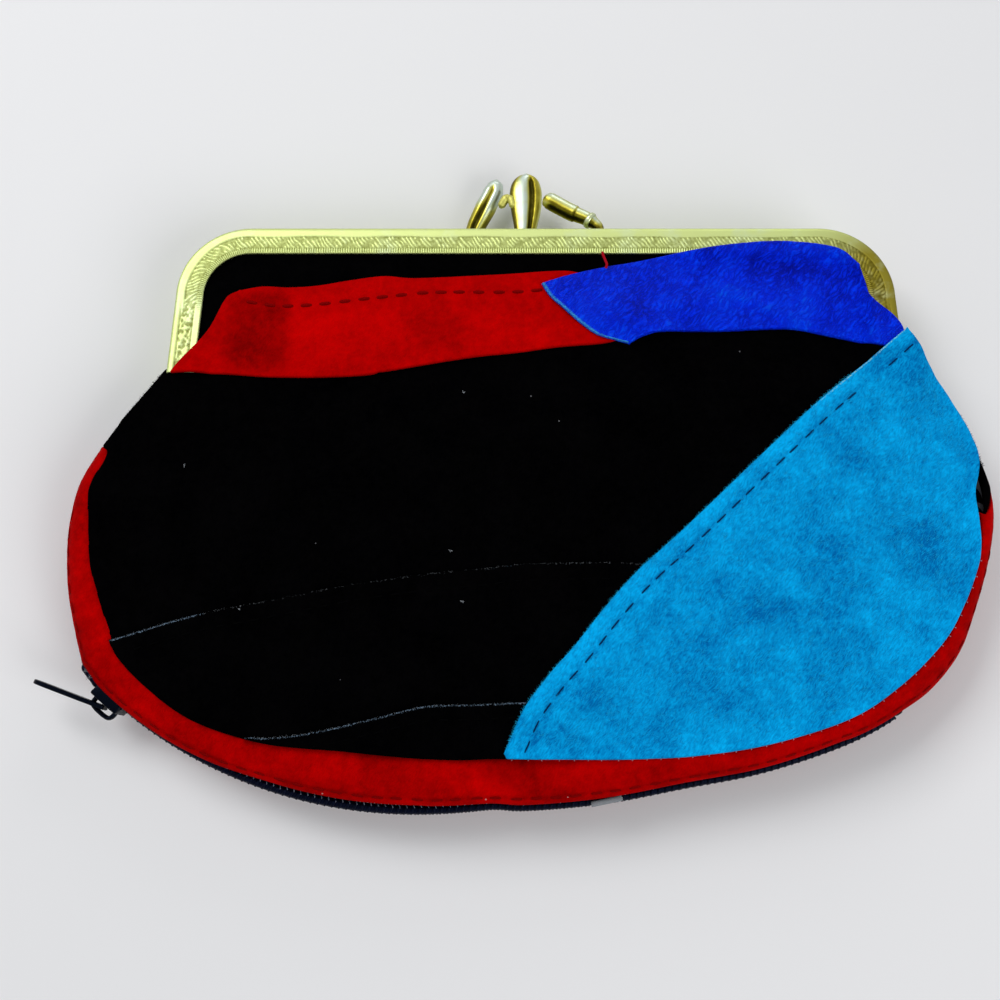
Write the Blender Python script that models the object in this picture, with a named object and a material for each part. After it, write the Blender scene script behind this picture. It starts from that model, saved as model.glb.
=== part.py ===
# A framed coin purse of pieced suede, lying on its back, in metres with +Z up.
# X runs along the frame's top bar, Y from the foot to the clasp, and Z from the
# floor to the front. The origin lies on the back panel's flat face.

import math

import bmesh
import bpy
import numpy as np
from mathutils import Vector

# Driving sizes
body_width = 0.188
body_drop = 0.089          # hinge axis down to the foot
frame_width = 0.150
frame_rise = 0.030         # hinge axis up to the frame's outer edge
hinge_y = 0.029            # hinge axis above the origin
half_depth = 0.009         # middle plane to the crown of either face

# Clearances
fit_gap = 0.0003           # between pieces that touch on the real purse
seam_gap = 0.0003          # between two patches
cut_overrun = 0.004        # how far a cutter passes what it cuts

# Leather and cloth
suede_thickness = 0.0012
lining_thickness = 0.0006
wall_thickness = 0.0005
sheet_edge_height = 0.0061     # outside of the suede at its edge, from the middle plane

# Frame bars
bar_face = 0.0057
bar_wall = 0.0006
bar_chamfer = 0.0008
outer_bar_depth = 0.0050
middle_bar_depth = 0.0038
bar_gap = 0.0004
corner_radius = 0.0123         # of the bar's centre line
arm_splay = 0.0010
arm_start = 0.0033             # full channel's end above the hinge axis
arm_tongue = 0.0022            # an outer bar's face and outer wall run on this far
sheet_reach = 0.0003           # sheet edge past the bar's centre line

# Hinge ears and rivets
ear_inset = 0.0050             # first ear in from the frame's outer edge
ear_thickness = 0.0008
ear_gap = 0.0003
ear_radius = 0.0030
ear_clear = 0.0004             # ear short of the next bar's end
ear_tail = 0.0027              # how far an ear runs up inside its bar
ear_bite = 0.0003              # how far an ear sinks into the bar's walls
rivet_radius = 0.0008
rivet_hole_radius = 0.0011
rivet_head_radius = 0.0018
rivet_head_height = 0.0006
fold_clear = 0.0012            # cloth that turns starts this far above the axis
neck_clear = 0.0005
shoulder_slope = 1.5           # rise over run where a sheet widens into the bar

# Gusset band and sides
gusset_band = 0.0119           # widest band between panel and outline
side_overhang = 0.0040         # outline outside the frame at the hinges
gusset_mouth_inset = 0.0022    # gusset edge in from the outline along the zip
gusset_mouth_height = 0.0036   # same edge from the middle plane
gusset_close_length = 0.0060   # length over which the gusset closes past the zip

# Zip
coil_radius = 0.0010
coil_inset = 0.0011
tape_thickness = 0.0005
tape_height = 0.0033
zip_stop_length = 0.0016
zip_stop_half_height = 0.0022
slider_length = 0.0065
slider_half_height = 0.0034
slider_plate = 0.0010
slider_stand_off = 0.0002
slider_flange = 0.0009
slider_throat = 0.0021         # flange reach in from the outline
bridge_half_length = 0.00275
bridge_wall = 0.0007
bridge_opening = 0.0015
bridge_half_width = 0.0008
pull_length = 0.0150
pull_half_width = 0.00225
pull_eye_half_width = 0.0018
pull_eye_bar = 0.0006
pull_window = 0.0033
pull_thickness = 0.0009
pull_lift_deg = 20.0           # pull above the zip's run, at rest
slider_rest_deg = 229.6        # round the zip's arc
zip_lead = 0.0044              # zip beyond the slider's middle, at its closed end

# Clasp prongs
prong_seat = 0.0003
centre_prong_length = 0.0152
centre_prong_half_width = 0.0034
centre_prong_half_thickness = 0.0019
centre_prong_shift = 0.0017
side_prong_radius = 0.0017
side_prong_tip_radius = 0.0019
prong_collar_radius = 0.0023
prong_collar_height = 0.0010
front_prong_foot_x = 0.0135
front_prong_tip_x = 0.0050
front_prong_rise = 0.0098
back_prong_foot_x = 0.0165
back_prong_tip_x = 0.0082
back_prong_rise = 0.0128
centre_prong_rise_shares = [0.0, 0.12, 0.3, 0.7, 0.9, 1.0]
centre_prong_width_shares = [0.8, 0.75, 0.85, 1.0, 0.8, 0.35]
prong_waist_share = 0.85
prong_tip_bead_shares = [(0.6, 0.75), (1.0, 0.3)]      # reach past the tip, and radius there

# Where the zip's bottom run is a true arc, so that the slider can swing round it
zip_arc_radius_share = 0.4947
zip_arc_centre_share = 0.25
zip_arc_start_deg = 224.0
zip_arc_end_deg = 279.0
zip_arc_steps = 12

# Outline of the body below the hinges: shares of half the width and of the drop
left_outline_shares = [(-0.899, 0.109), (-0.953, 0.191), (-0.989, 0.270), (-1.0, 0.345),
                       (-0.999, 0.430), (-0.988, 0.540)]
right_outline_shares = [(0.128, 0.968), (0.312, 0.936), (0.486, 0.898), (0.660, 0.837),
                        (0.787, 0.758), (0.878, 0.663), (0.926, 0.560), (0.961, 0.461),
                        (0.983, 0.371), (0.985, 0.292), (0.968, 0.213), (0.931, 0.109)]

# Width of the gusset band along the outline, from the left hinge to the right one
band_run_shares = [0.0, 0.05, 0.12, 0.19, 0.26, 0.34, 0.42, 0.50, 0.58, 0.66, 0.74, 0.82, 0.92, 1.0]
band_width_shares = [0.30, 0.34, 0.42, 0.52, 0.66, 0.72, 0.90, 1.0, 0.78, 0.50, 0.44, 0.42, 0.38, 0.30]

# Runs of the outline: left side piece ends, zip ends, right side piece begins
left_side_share = 0.075
zip_end_share = 0.742
right_side_share = 0.925

# Fineness of the shapes
station_count = 46
station_spare_share = 0.25
curve_steps = 8
corner_steps = 7
gusset_steps = 5
ear_steps = 11
ear_turn_deg = 60.0            # where an ear's round part starts
tab_end_steps = 9
hinge_sides = 12
prong_sides = 10
coil_sides = 8
least_corner_share = 0.4

# Rings of every crowned sheet, from its edge to its middle, and its height there
ring_shares = [1.0, 0.93, 0.82, 0.62]
crown_shares = [0.0, 0.10, 0.62, 1.0]
ring_ease_rounds = [0, 0, 8, 30]

# Seams between the patches: frame points are shares of half the frame and of its
# rise above the hinge, body points shares of half the body and of its drop
strip_seam_shares = [(-1.05, 0.06), (-0.917, 0.14), (-0.872, 0.333), (-0.848, 0.467),
                     (-0.811, 0.527), (-0.72, 0.547), (-0.507, 0.593), (-0.32, 0.61),
                     (-0.093, 0.637), (0.067, 0.663), (0.231, 0.71), (0.36, 0.773),
                     (0.507, 0.883), (0.64, 1.03)]
strip_seam_blue_start = 9
blue_tip_share = (0.02, 0.557)
blue_heel_share = (0.247, 0.12)
red_foot_shares = [(-1.07, -0.073), (-0.84, -0.08), (-0.704, -0.1), (-0.559, -0.1),
                   (-0.407, -0.06), (-0.251, 0.007), (-0.047, 0.077), (0.056, 0.113)]
blue_foot_shares = [(0.351, 0.2), (0.515, 0.227), (0.705, 0.24), (0.827, 0.193)]
turquoise_tip_share = (0.956, 0.14)
turquoise_upper_shares = [(0.616, 0.081), (0.498, 0.197), (0.315, 0.38)]
turquoise_middle_shares = [(0.137, 0.565), (0.074, 0.647), (0.026, 0.704)]
turquoise_lower_shares = [(-0.048, 0.819), (-0.069, 0.871), (-0.096, 0.955)]
upper_seam_shares = [(-1.06, 0.674), (-0.86, 0.624), (-0.704, 0.578), (-0.556, 0.549),
                     (-0.393, 0.515), (-0.229, 0.49), (-0.038, 0.469), (0.151, 0.464)]
upper_seam_end_share = (0.222, 0.469)
lower_seam_shares = [(-0.681, 0.91), (-0.573, 0.835), (-0.502, 0.838), (-0.426, 0.822),
                     (-0.311, 0.797), (-0.21, 0.775)]
lower_seam_end_share = (-0.026, 0.771)

# Places worked out from the sizes
half_body = body_width / 2
half_frame = frame_width / 2
mid_z = half_depth
foot_y = hinge_y - body_drop
frame_top_y = hinge_y + frame_rise
zip_arc_radius = zip_arc_radius_share * body_width
zip_arc_x = -zip_arc_centre_share * half_body
zip_arc_y = foot_y + zip_arc_radius
middle_bar_low = -middle_bar_depth / 2
outer_bar_low = middle_bar_depth / 2 + bar_gap
outer_bar_high = outer_bar_low + outer_bar_depth
sheet_crown_height = half_depth
lining_drop = suede_thickness + fit_gap
far_side = body_width
beyond_top = frame_top_y + frame_rise
beyond_foot = foot_y - frame_rise

materials = {
    "gilt_brass": ((0.75, 0.62, 0.22), 0.28, 1.0),
    "black_suede": ((0.012, 0.011, 0.012), 0.95, 0.0),
    "red_suede": ((0.45, 0.006, 0.010), 0.92, 0.0),
    "blue_leather": ((0.010, 0.040, 0.60), 0.55, 0.0),
    "turquoise_suede": ((0.010, 0.27, 0.45), 0.9, 0.0),
    "lining_cloth": ((0.02, 0.02, 0.025), 0.85, 0.0),
    "zip_cloth": ((0.010, 0.012, 0.035), 0.8, 0.0),
    "zip_nylon": ((0.012, 0.016, 0.05), 0.4, 0.0),
    "black_enamel": ((0.012, 0.012, 0.016), 0.3, 0.6),
}


def clear_scene():
    for thing in list(bpy.data.objects):
        bpy.data.objects.remove(thing, do_unlink=True)


def get_material(name):
    if name in bpy.data.materials:
        return bpy.data.materials[name]
    colour, roughness, metallic = materials[name]
    material = bpy.data.materials.new(name)
    material.use_nodes = True
    shader = material.node_tree.nodes["Principled BSDF"]
    shader.inputs["Base Color"].default_value = (*colour, 1.0)
    shader.inputs["Roughness"].default_value = roughness
    shader.inputs["Metallic"].default_value = metallic
    material.diffuse_color = (*colour, 1.0)
    return material


def add_piece(name, vertices, faces, material):
    # A mesh with its faces turned outwards, linked to the scene
    mesh = bpy.data.meshes.new(name)
    mesh.from_pydata([tuple(v) for v in vertices], [], faces)
    shape = bmesh.new()
    shape.from_mesh(mesh)
    bmesh.ops.recalc_face_normals(shape, faces=shape.faces)
    shape.to_mesh(mesh)
    shape.free()
    piece = bpy.data.objects.new(name, mesh)
    bpy.context.collection.objects.link(piece)
    if material:
        mesh.materials.append(get_material(material))
    return piece


def hide_cutter(piece):
    piece.hide_render = True
    piece.display_type = "WIRE"
    return piece


def add_boolean(piece, cutter, operation):
    modifier = piece.modifiers.new(operation.lower(), "BOOLEAN")
    modifier.operation = operation
    modifier.solver = "EXACT"
    modifier.object = cutter


def smooth_run(points, steps):
    # Catmull-Rom curve through the points, with straight-on ends
    points = np.array(points, float)
    padded = np.vstack([2 * points[0] - points[1], points, 2 * points[-1] - points[-2]])
    run = []
    for i in range(len(points) - 1):
        a, b, c, d = padded[i:i + 4]
        for u in np.linspace(0.0, 1.0, steps, endpoint=False):
            run.append(0.5 * (2 * b + (c - a) * u + (2 * a - 5 * b + 4 * c - d) * u ** 2
                              + (3 * b - a - 3 * c + d) * u ** 3))
    run.append(points[-1])
    return np.array(run)


def body_point(share):
    return (share[0] * half_body, hinge_y - share[1] * body_drop)


def frame_point(share):
    return (share[0] * half_frame, hinge_y + share[1] * frame_rise)


def arc_point(angle_deg, out):
    # Point at a distance outside the zip's arc
    angle = math.radians(angle_deg)
    reach = zip_arc_radius + out
    return (zip_arc_x + reach * math.cos(angle), zip_arc_y + reach * math.sin(angle))


def make_outline():
    # Body outline from the left hinge round the foot to the right hinge
    arc = [arc_point(a, 0.0) for a in np.linspace(zip_arc_start_deg, zip_arc_end_deg, zip_arc_steps)]
    start = (-half_frame - side_overhang, hinge_y)
    end = (half_frame + side_overhang, hinge_y)
    left = [start] + [body_point(s) for s in left_outline_shares] + arc[:2]
    right = arc[-2:] + [body_point(s) for s in right_outline_shares] + [end]
    left_run = smooth_run(left, curve_steps)[:-curve_steps]
    right_run = smooth_run(right, curve_steps)[curve_steps:]
    fine_arc = [arc_point(a, 0.0) for a in np.linspace(zip_arc_start_deg, zip_arc_end_deg,
                                                       zip_arc_steps * curve_steps)]
    return np.vstack([left_run[:-1], fine_arc, right_run[1:]])


outline = make_outline()
outline_steps = np.linalg.norm(np.diff(outline, axis=0), axis=1)
outline_run = np.concatenate([[0.0], np.cumsum(outline_steps)])
outline_length = outline_run[-1]


def slider_run():
    # Run of the outline from the left hinge to the slider's middle, at rest
    start = arc_point(zip_arc_start_deg, 0.0)
    nearest = np.argmin(np.linalg.norm(outline - start, axis=1))
    return outline_run[nearest] + math.radians(slider_rest_deg - zip_arc_start_deg) * zip_arc_radius


zip_start_share = (slider_run() - zip_lead) / outline_length


def rim(share):
    # Point, outward normal and gusset band width at a share of the outline
    run = share * outline_length
    x = np.interp(run, outline_run, outline[:, 0])
    y = np.interp(run, outline_run, outline[:, 1])
    reach = outline_length / station_count / 2
    ahead = min(run + reach, outline_length)
    behind = max(run - reach, 0.0)
    dx = np.interp(ahead, outline_run, outline[:, 0]) - np.interp(behind, outline_run, outline[:, 0])
    dy = np.interp(ahead, outline_run, outline[:, 1]) - np.interp(behind, outline_run, outline[:, 1])
    length = math.hypot(dx, dy)
    band = gusset_band * np.interp(share, band_run_shares, band_width_shares)
    return np.array([x, y]), np.array([dy, -dx]) / length, band


def rim_point(share, out):
    place, normal, _ = rim(share)
    return place + normal * out


def stations_between(first, last):
    # Shares of the outline, common to all pieces that meet along it
    inner = [s for s in np.linspace(0.0, 1.0, station_count) if first < s < last]
    clear = station_spare_share / station_count
    inner = [s for s in inner if s - first > clear and last - s > clear]
    return [first] + inner + [last]


def bar_path(out, tongue=0.0):
    # Centre line of a frame bar moved outwards, from the right end to the left
    reach = half_frame - bar_face / 2
    knee_x = reach - arm_splay
    centre_x = knee_x - corner_radius
    centre_y = frame_top_y - bar_face / 2 - corner_radius
    points = [(reach + out, hinge_y + arm_start - tongue)]
    for angle in np.linspace(0.0, math.pi / 2, corner_steps):
        radius = corner_radius + out
        points.append((centre_x + radius * math.cos(angle), centre_y + radius * math.sin(angle)))
    return points + [(-x, y) for x, y in reversed(points)]


def neck_points(out, low_y):
    # Where a sheet leaves the bar and passes inside the hinge ears
    neck_x = half_frame - ear_inset - neck_clear
    ear_top = hinge_y + arm_start + ear_tail + neck_clear
    path = bar_path(out)
    arm_x, low = path[0]
    arm_top_x, arm_top_y = path[1]
    shoulder_y = ear_top + (arm_x - neck_x) * shoulder_slope
    shoulder_share = (shoulder_y - low) / (arm_top_y - low)
    shoulder_x = arm_x + (arm_top_x - arm_x) * shoulder_share
    right = [(neck_x, low_y), (neck_x, ear_top), (shoulder_x, shoulder_y)]
    left = [(-x, y) for x, y in reversed(right)]
    return right, left, path[1:-1]


def sheet_outline():
    # Seam line round the body, then up inside the bars
    seam = []
    for share in stations_between(0.0, 1.0):
        place, normal, band = rim(share)
        seam.append(tuple(place - normal * band))
    right, left, corners = neck_points(sheet_reach, hinge_y + fold_clear)
    return seam + right + corners + left


def eased_outline(points, rounds):
    # Each round moves every point half way towards the middle of its neighbours
    for _ in range(rounds):
        beside = (np.roll(points, 1, axis=0) + np.roll(points, -1, axis=0)) / 2
        points = (points + beside) / 2
    return points


def crowned_sheet(name, side, edge_height, crown_height, thickness, material):
    # Closed sheet of rings drawn in towards the middle, flat over its crown.
    # side is +1 for the front face and -1 for the back.
    edge = np.array(sheet_outline())
    count = len(edge)
    centre = np.array([0.0, (frame_top_y + foot_y) / 2])
    vertices = []
    for drop in (0.0, thickness):
        for ring, crown, ease in zip(ring_shares, crown_shares, ring_ease_rounds):
            height = edge_height + (crown_height - edge_height) * crown - drop
            places = centre + (eased_outline(edge, ease) - centre) * ring
            vertices += [(x, y, mid_z + side * height) for x, y in places]
        vertices.append((centre[0], centre[1], mid_z + side * (crown_height - drop)))
    layer = count * len(ring_shares) + 1
    faces = []
    for base in (0, layer):
        for ring in range(len(ring_shares) - 1):
            for i in range(count):
                j = (i + 1) % count
                a = base + ring * count
                b = a + count
                faces += [(a + i, a + j, b + j), (a + i, b + j, b + i)]
        last = base + (len(ring_shares) - 1) * count
        for i in range(count):
            faces.append((last + i, last + (i + 1) % count, base + layer - 1))
    for i in range(count):
        j = (i + 1) % count
        faces += [(i, j, layer + j), (i, layer + j, layer + i)]
    return add_piece(name, vertices, faces, material)


def prism(name, points, low, high, material=None):
    # Flat outline raised between two heights
    count = len(points)
    vertices = [(x, y, low) for x, y in points] + [(x, y, high) for x, y in points]
    faces = [tuple(range(count)), tuple(range(count, 2 * count))]
    for i in range(count):
        j = (i + 1) % count
        faces.append((i, j, count + j, count + i))
    return add_piece(name, vertices, faces, material)


def inset_points(points, inset):
    # Every edge of a closed outline moved inwards by the inset
    points = np.array(points, float)
    ahead = np.roll(points, -1, axis=0)
    if np.sum(points[:, 0] * ahead[:, 1] - ahead[:, 0] * points[:, 1]) < 0:
        points = points[::-1]
        ahead = np.roll(points, -1, axis=0)
    edges = ahead - points
    normals = np.column_stack([edges[:, 1], -edges[:, 0]])
    normals /= np.linalg.norm(normals, axis=1)[:, None]
    before = np.roll(normals, 1, axis=0)
    share = 1.0 + np.sum(normals * before, axis=1)
    return points - inset * (normals + before) / np.maximum(share, least_corner_share)[:, None]


def clip_to_outline(piece, points):
    low = mid_z - half_depth - cut_overrun
    high = mid_z + half_depth + cut_overrun
    cutter = hide_cutter(prism(piece.name + "_cutter", points, low, high))
    add_boolean(piece, cutter, "INTERSECT")
    return piece


def clip_to_rows(piece, low_y, high_y):
    return clip_to_outline(piece, [(-far_side, low_y), (far_side, low_y), (far_side, high_y),
                                   (-far_side, high_y)])


def make_patches():
    # The front is one crowned sheet, divided along the seams
    strip_seam = [frame_point(s) for s in strip_seam_shares]
    tip = frame_point(blue_tip_share)
    heel = frame_point(blue_heel_share)
    red_foot = [frame_point(s) for s in red_foot_shares]
    blue_foot = [frame_point(s) for s in blue_foot_shares]
    corner = frame_point(turquoise_tip_share)
    upper_end = body_point(upper_seam_end_share)
    lower_end = body_point(lower_seam_end_share)
    upper_run = [corner] + [body_point(s) for s in turquoise_upper_shares] + [upper_end]
    middle_run = [upper_end] + [body_point(s) for s in turquoise_middle_shares] + [lower_end]
    lower_run = [lower_end] + [body_point(s) for s in turquoise_lower_shares]
    upper_seam = [body_point(s) for s in upper_seam_shares] + [upper_end]
    lower_seam = [body_point(s) for s in lower_seam_shares] + [lower_end]
    split = strip_seam_blue_start
    patches = {
        "black_top_strip": ("black_suede", strip_seam + [(strip_seam[-1][0], beyond_top),
                                                         (-far_side, beyond_top),
                                                         (-far_side, strip_seam[0][1])]),
        "red_patch": ("red_suede", strip_seam[:split + 1] + [tip, heel] + red_foot[::-1]),
        "blue_patch": ("blue_leather", [tip] + strip_seam[split:]
                       + [(strip_seam[-1][0], beyond_top), (far_side, beyond_top),
                          (far_side, corner[1]), corner] + blue_foot[::-1] + [heel]),
        "black_main_patch": ("black_suede", [(-far_side, red_foot[0][1])] + red_foot + [heel]
                             + blue_foot + upper_run + upper_seam[::-1][1:]
                             + [(-far_side, upper_seam[0][1])]),
        "black_middle_patch": ("black_suede", [(-far_side, upper_seam[0][1])] + upper_seam
                               + middle_run[1:] + lower_seam[::-1][1:]
                               + [(lower_seam[0][0], beyond_foot), (-far_side, beyond_foot)]),
        "black_bottom_patch": ("black_suede", lower_seam + lower_run[1:]
                               + [(lower_run[-1][0], beyond_foot), (lower_seam[0][0], beyond_foot)]),
        "turquoise_patch": ("turquoise_suede", [(far_side, corner[1]), (far_side, beyond_foot),
                                                (lower_run[-1][0], beyond_foot)]
                            + lower_run[::-1] + middle_run[::-1][1:] + upper_run[::-1][1:]),
    }
    for name, (material, points) in patches.items():
        patch = crowned_sheet(name, 1, sheet_edge_height, sheet_crown_height, suede_thickness, material)
        clip_to_outline(patch, inset_points(points, seam_gap / 2))


def make_linings():
    edge = sheet_edge_height - lining_drop
    crown = sheet_crown_height - lining_drop
    turn_low = hinge_y - half_depth - fold_clear
    turn_high = hinge_y + fold_clear
    rows = {
        "front_lining_lower": (beyond_foot, turn_low),
        "front_lining_fold": (turn_low + fit_gap, turn_high - fit_gap),
        "front_lining_upper": (turn_high, beyond_top),
    }
    for name, (low_y, high_y) in rows.items():
        lining = crowned_sheet(name, 1, edge, crown, lining_thickness, "lining_cloth")
        clip_to_rows(lining, low_y, high_y)
    crowned_sheet("back_lining", -1, edge, crown, lining_thickness, "lining_cloth")
    crowned_sheet("back_panel", -1, sheet_edge_height, sheet_crown_height, suede_thickness, "black_suede")


def make_inner_walls():
    # Two thin walls with the zip compartment between them, hung from the middle bar
    split_gap = wall_thickness + fit_gap
    ear_low = hinge_y - ear_radius - neck_clear
    inset = gusset_mouth_inset + tape_thickness + 2 * fit_gap + tape_thickness / 2
    lower = [tuple(rim_point(s, -inset)) for s in stations_between(0.0, 1.0)]
    lower = [p for p in lower if p[1] < ear_low]
    neck_x = half_frame - ear_inset - neck_clear - rivet_head_height
    lower += [(neck_x, ear_low), (neck_x, hinge_y - split_gap)]
    lower += [(-neck_x, hinge_y - split_gap), (-neck_x, ear_low)]
    right, left, corners = neck_points(sheet_reach, hinge_y + split_gap)
    right[0] = (neck_x, right[0][1])
    right[1] = (neck_x, right[1][1])
    left[-1] = (-neck_x, left[-1][1])
    left[-2] = (-neck_x, left[-2][1])
    upper = right + corners + left
    near = wall_thickness / 2
    far = near + wall_thickness
    for part, points in (("upper", upper), ("lower", lower)):
        prism("front_wall_" + part, points, mid_z + near, mid_z + far, "lining_cloth")
        prism("back_wall_" + part, points, mid_z - far, mid_z - near, "lining_cloth")


def bar_profile(low, high):
    # Channel open towards the purse, with its outer edges chamfered
    outer = bar_face / 2
    web = outer - bar_wall
    cut = bar_chamfer
    return [(-outer, low), (outer - cut, low), (outer, low + cut), (outer, high - cut),
            (outer - cut, high), (-outer, high), (-outer, high - bar_wall), (web, high - bar_wall),
            (web, low + bar_wall), (-outer, low + bar_wall)]


def sweep(name, sections, material):
    # Joins equal outlines, one to the next, into a closed solid
    count = len(sections[0])
    vertices = [v for section in sections for v in section]
    faces = []
    for k in range(len(sections) - 1):
        for i in range(count):
            j = (i + 1) % count
            a = k * count
            b = a + count
            faces += [(a + i, a + j, b + j), (a + i, b + j, b + i)]
    last = (len(sections) - 1) * count
    faces += [tuple(range(count)), tuple(range(last, last + count))]
    return add_piece(name, vertices, faces, material)


def bar_sections(low, high, side, tongue):
    centre = np.array(bar_path(0.0, tongue))
    outer = np.array(bar_path(bar_face / 2, tongue))
    sections = []
    for place, far in zip(centre, outer):
        across = (far - place) / (bar_face / 2)
        sections.append([(*(place + across * n), mid_z + side * h) for n, h in bar_profile(low, high)])
    return sections


def ear_outline(low, high):
    # Ear round the hinge axis, with a tail inside its own bar; a is along Y from
    # the axis and h along Z from the middle plane
    tail_low = low + bar_wall - ear_bite
    tail_high = high - bar_wall + ear_bite
    tail_end = arm_start + ear_tail
    waist = arm_start - ear_clear
    points = [(tail_end, tail_low), (tail_end, tail_high), (waist, tail_high)]
    for angle in np.radians(np.linspace(ear_turn_deg, 360.0 - ear_turn_deg, ear_steps)):
        points.append((ear_radius * math.cos(angle), ear_radius * math.sin(angle)))
    points.append((waist, tail_low))
    return points


def ear_plate(name, points, low_x, high_x):
    faces = [[(x, hinge_y + a, mid_z + h) for a, h in points] for x in (low_x, high_x)]
    return hide_cutter(sweep(name, faces, None))


def turned_x(name, stations, material):
    # Round piece on the hinge axis, through stations of (x, radius)
    rings = []
    for x, radius in stations:
        ring = []
        for i in range(hinge_sides):
            angle = 2 * math.pi * i / hinge_sides
            ring.append((x, hinge_y + radius * math.cos(angle), mid_z + radius * math.sin(angle)))
        rings.append(ring)
    return sweep(name, rings, material)


def ear_span(order):
    low = half_frame - ear_inset + order * (ear_thickness + ear_gap)
    return low, low + ear_thickness


def clear_hinge(bar, low, high, side):
    # Cuts an outer bar's inner flange away beside the hinge, so that its face and
    # outer wall run on as a tongue
    reach = half_frame - bar_wall - ear_bite
    bottom = hinge_y + arm_start - arm_tongue - cut_overrun
    top = hinge_y + arm_start
    heights = [mid_z + side * h for h in (low - fit_gap, (low + high) / 2)]
    for end in (-1, 1):
        edges = [end * (half_frame - bar_face - cut_overrun), end * reach]
        points = [(edges[0], bottom), (edges[1], bottom), (edges[1], top), (edges[0], top)]
        cutter = prism(bar.name + "_hinge_cutter", points, *heights)
        add_boolean(bar, hide_cutter(cutter), "DIFFERENCE")


def make_bar(name, low, high, order, side, tongue):
    # One bar with an ear at each end. order counts the ears outwards, and side is
    # -1 for the bar behind the middle plane.
    bar = sweep(name, bar_sections(low, high, side, tongue), "gilt_brass")
    if tongue:
        clear_hinge(bar, low, high, side)
    near, far = ear_span(order)
    points = [(a, side * h) for a, h in ear_outline(low, high)]
    through = [(-half_frame, rivet_hole_radius), (half_frame, rivet_hole_radius)]
    hole = hide_cutter(turned_x(name + "_hole", through, None))
    add_boolean(bar, ear_plate(name + "_ear_right", points, near, far), "UNION")
    add_boolean(bar, ear_plate(name + "_ear_left", points, -far, -near), "UNION")
    add_boolean(bar, hole, "DIFFERENCE")


def make_frame():
    make_bar("back_frame", outer_bar_low, outer_bar_high, 0, -1, arm_tongue)
    make_bar("middle_frame", middle_bar_low, -middle_bar_low, 1, 1, 0.0)
    make_bar("front_frame", outer_bar_low, outer_bar_high, 2, 1, arm_tongue)
    inner_face = ear_span(0)[0] - ear_gap
    outer_face = ear_span(2)[1] + ear_gap
    stations = [(inner_face - rivet_head_height, rivet_head_radius), (inner_face, rivet_head_radius),
                (inner_face, rivet_radius), (outer_face, rivet_radius),
                (outer_face, rivet_head_radius), (outer_face + rivet_head_height, rivet_head_radius)]
    for name, sign in (("right_hinge_rivet", 1), ("left_hinge_rivet", -1)):
        turned_x(name, [(sign * x, radius) for x, radius in stations], "gilt_brass")


def rod(name, points, radii, flatten=1.0):
    # Round gilt rod through the points, flattened from front to back
    points = [Vector(p) for p in points]
    rings = []
    for k, place in enumerate(points):
        ahead = points[min(k + 1, len(points) - 1)]
        behind = points[max(k - 1, 0)]
        along = (ahead - behind).normalized()
        across = along.cross(Vector((0.0, 0.0, 1.0))).normalized()
        up = across.cross(along)
        ring = []
        for i in range(prong_sides):
            angle = 2 * math.pi * i / prong_sides
            ring.append(place + across * radii[k] * math.cos(angle)
                        + up * radii[k] * flatten * math.sin(angle))
        rings.append(ring)
    return sweep(name, rings, "gilt_brass")


def make_clasp():
    seat = frame_top_y + prong_seat
    outer_mid = (outer_bar_low + outer_bar_high) / 2
    flatten = centre_prong_half_thickness / centre_prong_half_width
    rod("middle_clasp_prong",
        [(-centre_prong_shift, seat + centre_prong_length * r, mid_z) for r in centre_prong_rise_shares],
        [centre_prong_half_width * w for w in centre_prong_width_shares], flatten)
    for name, sign, foot_x, tip_x, rise, depth in (
            ("front_clasp_prong", 1, front_prong_foot_x, front_prong_tip_x, front_prong_rise, outer_mid),
            ("back_clasp_prong", -1, back_prong_foot_x, back_prong_tip_x, back_prong_rise, -outer_mid)):
        collar = prong_collar_height
        foot = Vector((sign * foot_x, seat, mid_z + depth))
        neck = foot + Vector((0.0, collar, 0.0))
        tip = Vector((sign * tip_x, seat + rise, mid_z + depth / 2))
        step = side_prong_radius
        lean = (tip - neck).normalized()
        points = [foot, neck, neck + Vector((0.0, fit_gap, 0.0)), neck + Vector((0.0, step, 0.0)),
                  (neck + tip) / 2, tip]
        radii = [prong_collar_radius, prong_collar_radius, side_prong_radius, side_prong_radius,
                 side_prong_radius * prong_waist_share, side_prong_tip_radius]
        points += [tip + lean * step * reach for reach, _ in prong_tip_bead_shares]
        radii += [side_prong_tip_radius * width for _, width in prong_tip_bead_shares]
        rod(name, points, radii)


def zip_openness(share):
    # 1 along the zip, falling to 0 where the two gussets are sewn together
    close = gusset_close_length / outline_length
    runs = [zip_start_share - close, zip_start_share, zip_end_share, zip_end_share + close]
    return float(np.interp(share, runs, [0.0, 1.0, 1.0, 0.0]))


def gusset_section(share, side):
    # Quarter ellipse from the panel seam out to the gusset's edge, one suede thick
    place, normal, band = rim(share)
    openness = zip_openness(share)
    start_out = -band + fit_gap
    end_out = -fit_gap + (fit_gap - gusset_mouth_inset) * openness
    end_height = fit_gap / 2 + (gusset_mouth_height - fit_gap / 2) * openness
    outer = []
    inner = []
    for turn in np.linspace(0.0, math.pi / 2, gusset_steps):
        far = math.sin(turn)
        fall = math.cos(turn)
        out = start_out + (end_out - start_out) * far
        height = end_height + (sheet_edge_height - end_height) * fall
        outer.append((*(place + normal * out), mid_z + side * height))
        out = start_out + (end_out - suede_thickness - start_out) * far
        height = end_height + (sheet_edge_height - suede_thickness - end_height) * fall
        inner.append((*(place + normal * out), mid_z + side * height))
    return outer + inner[::-1]


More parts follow.
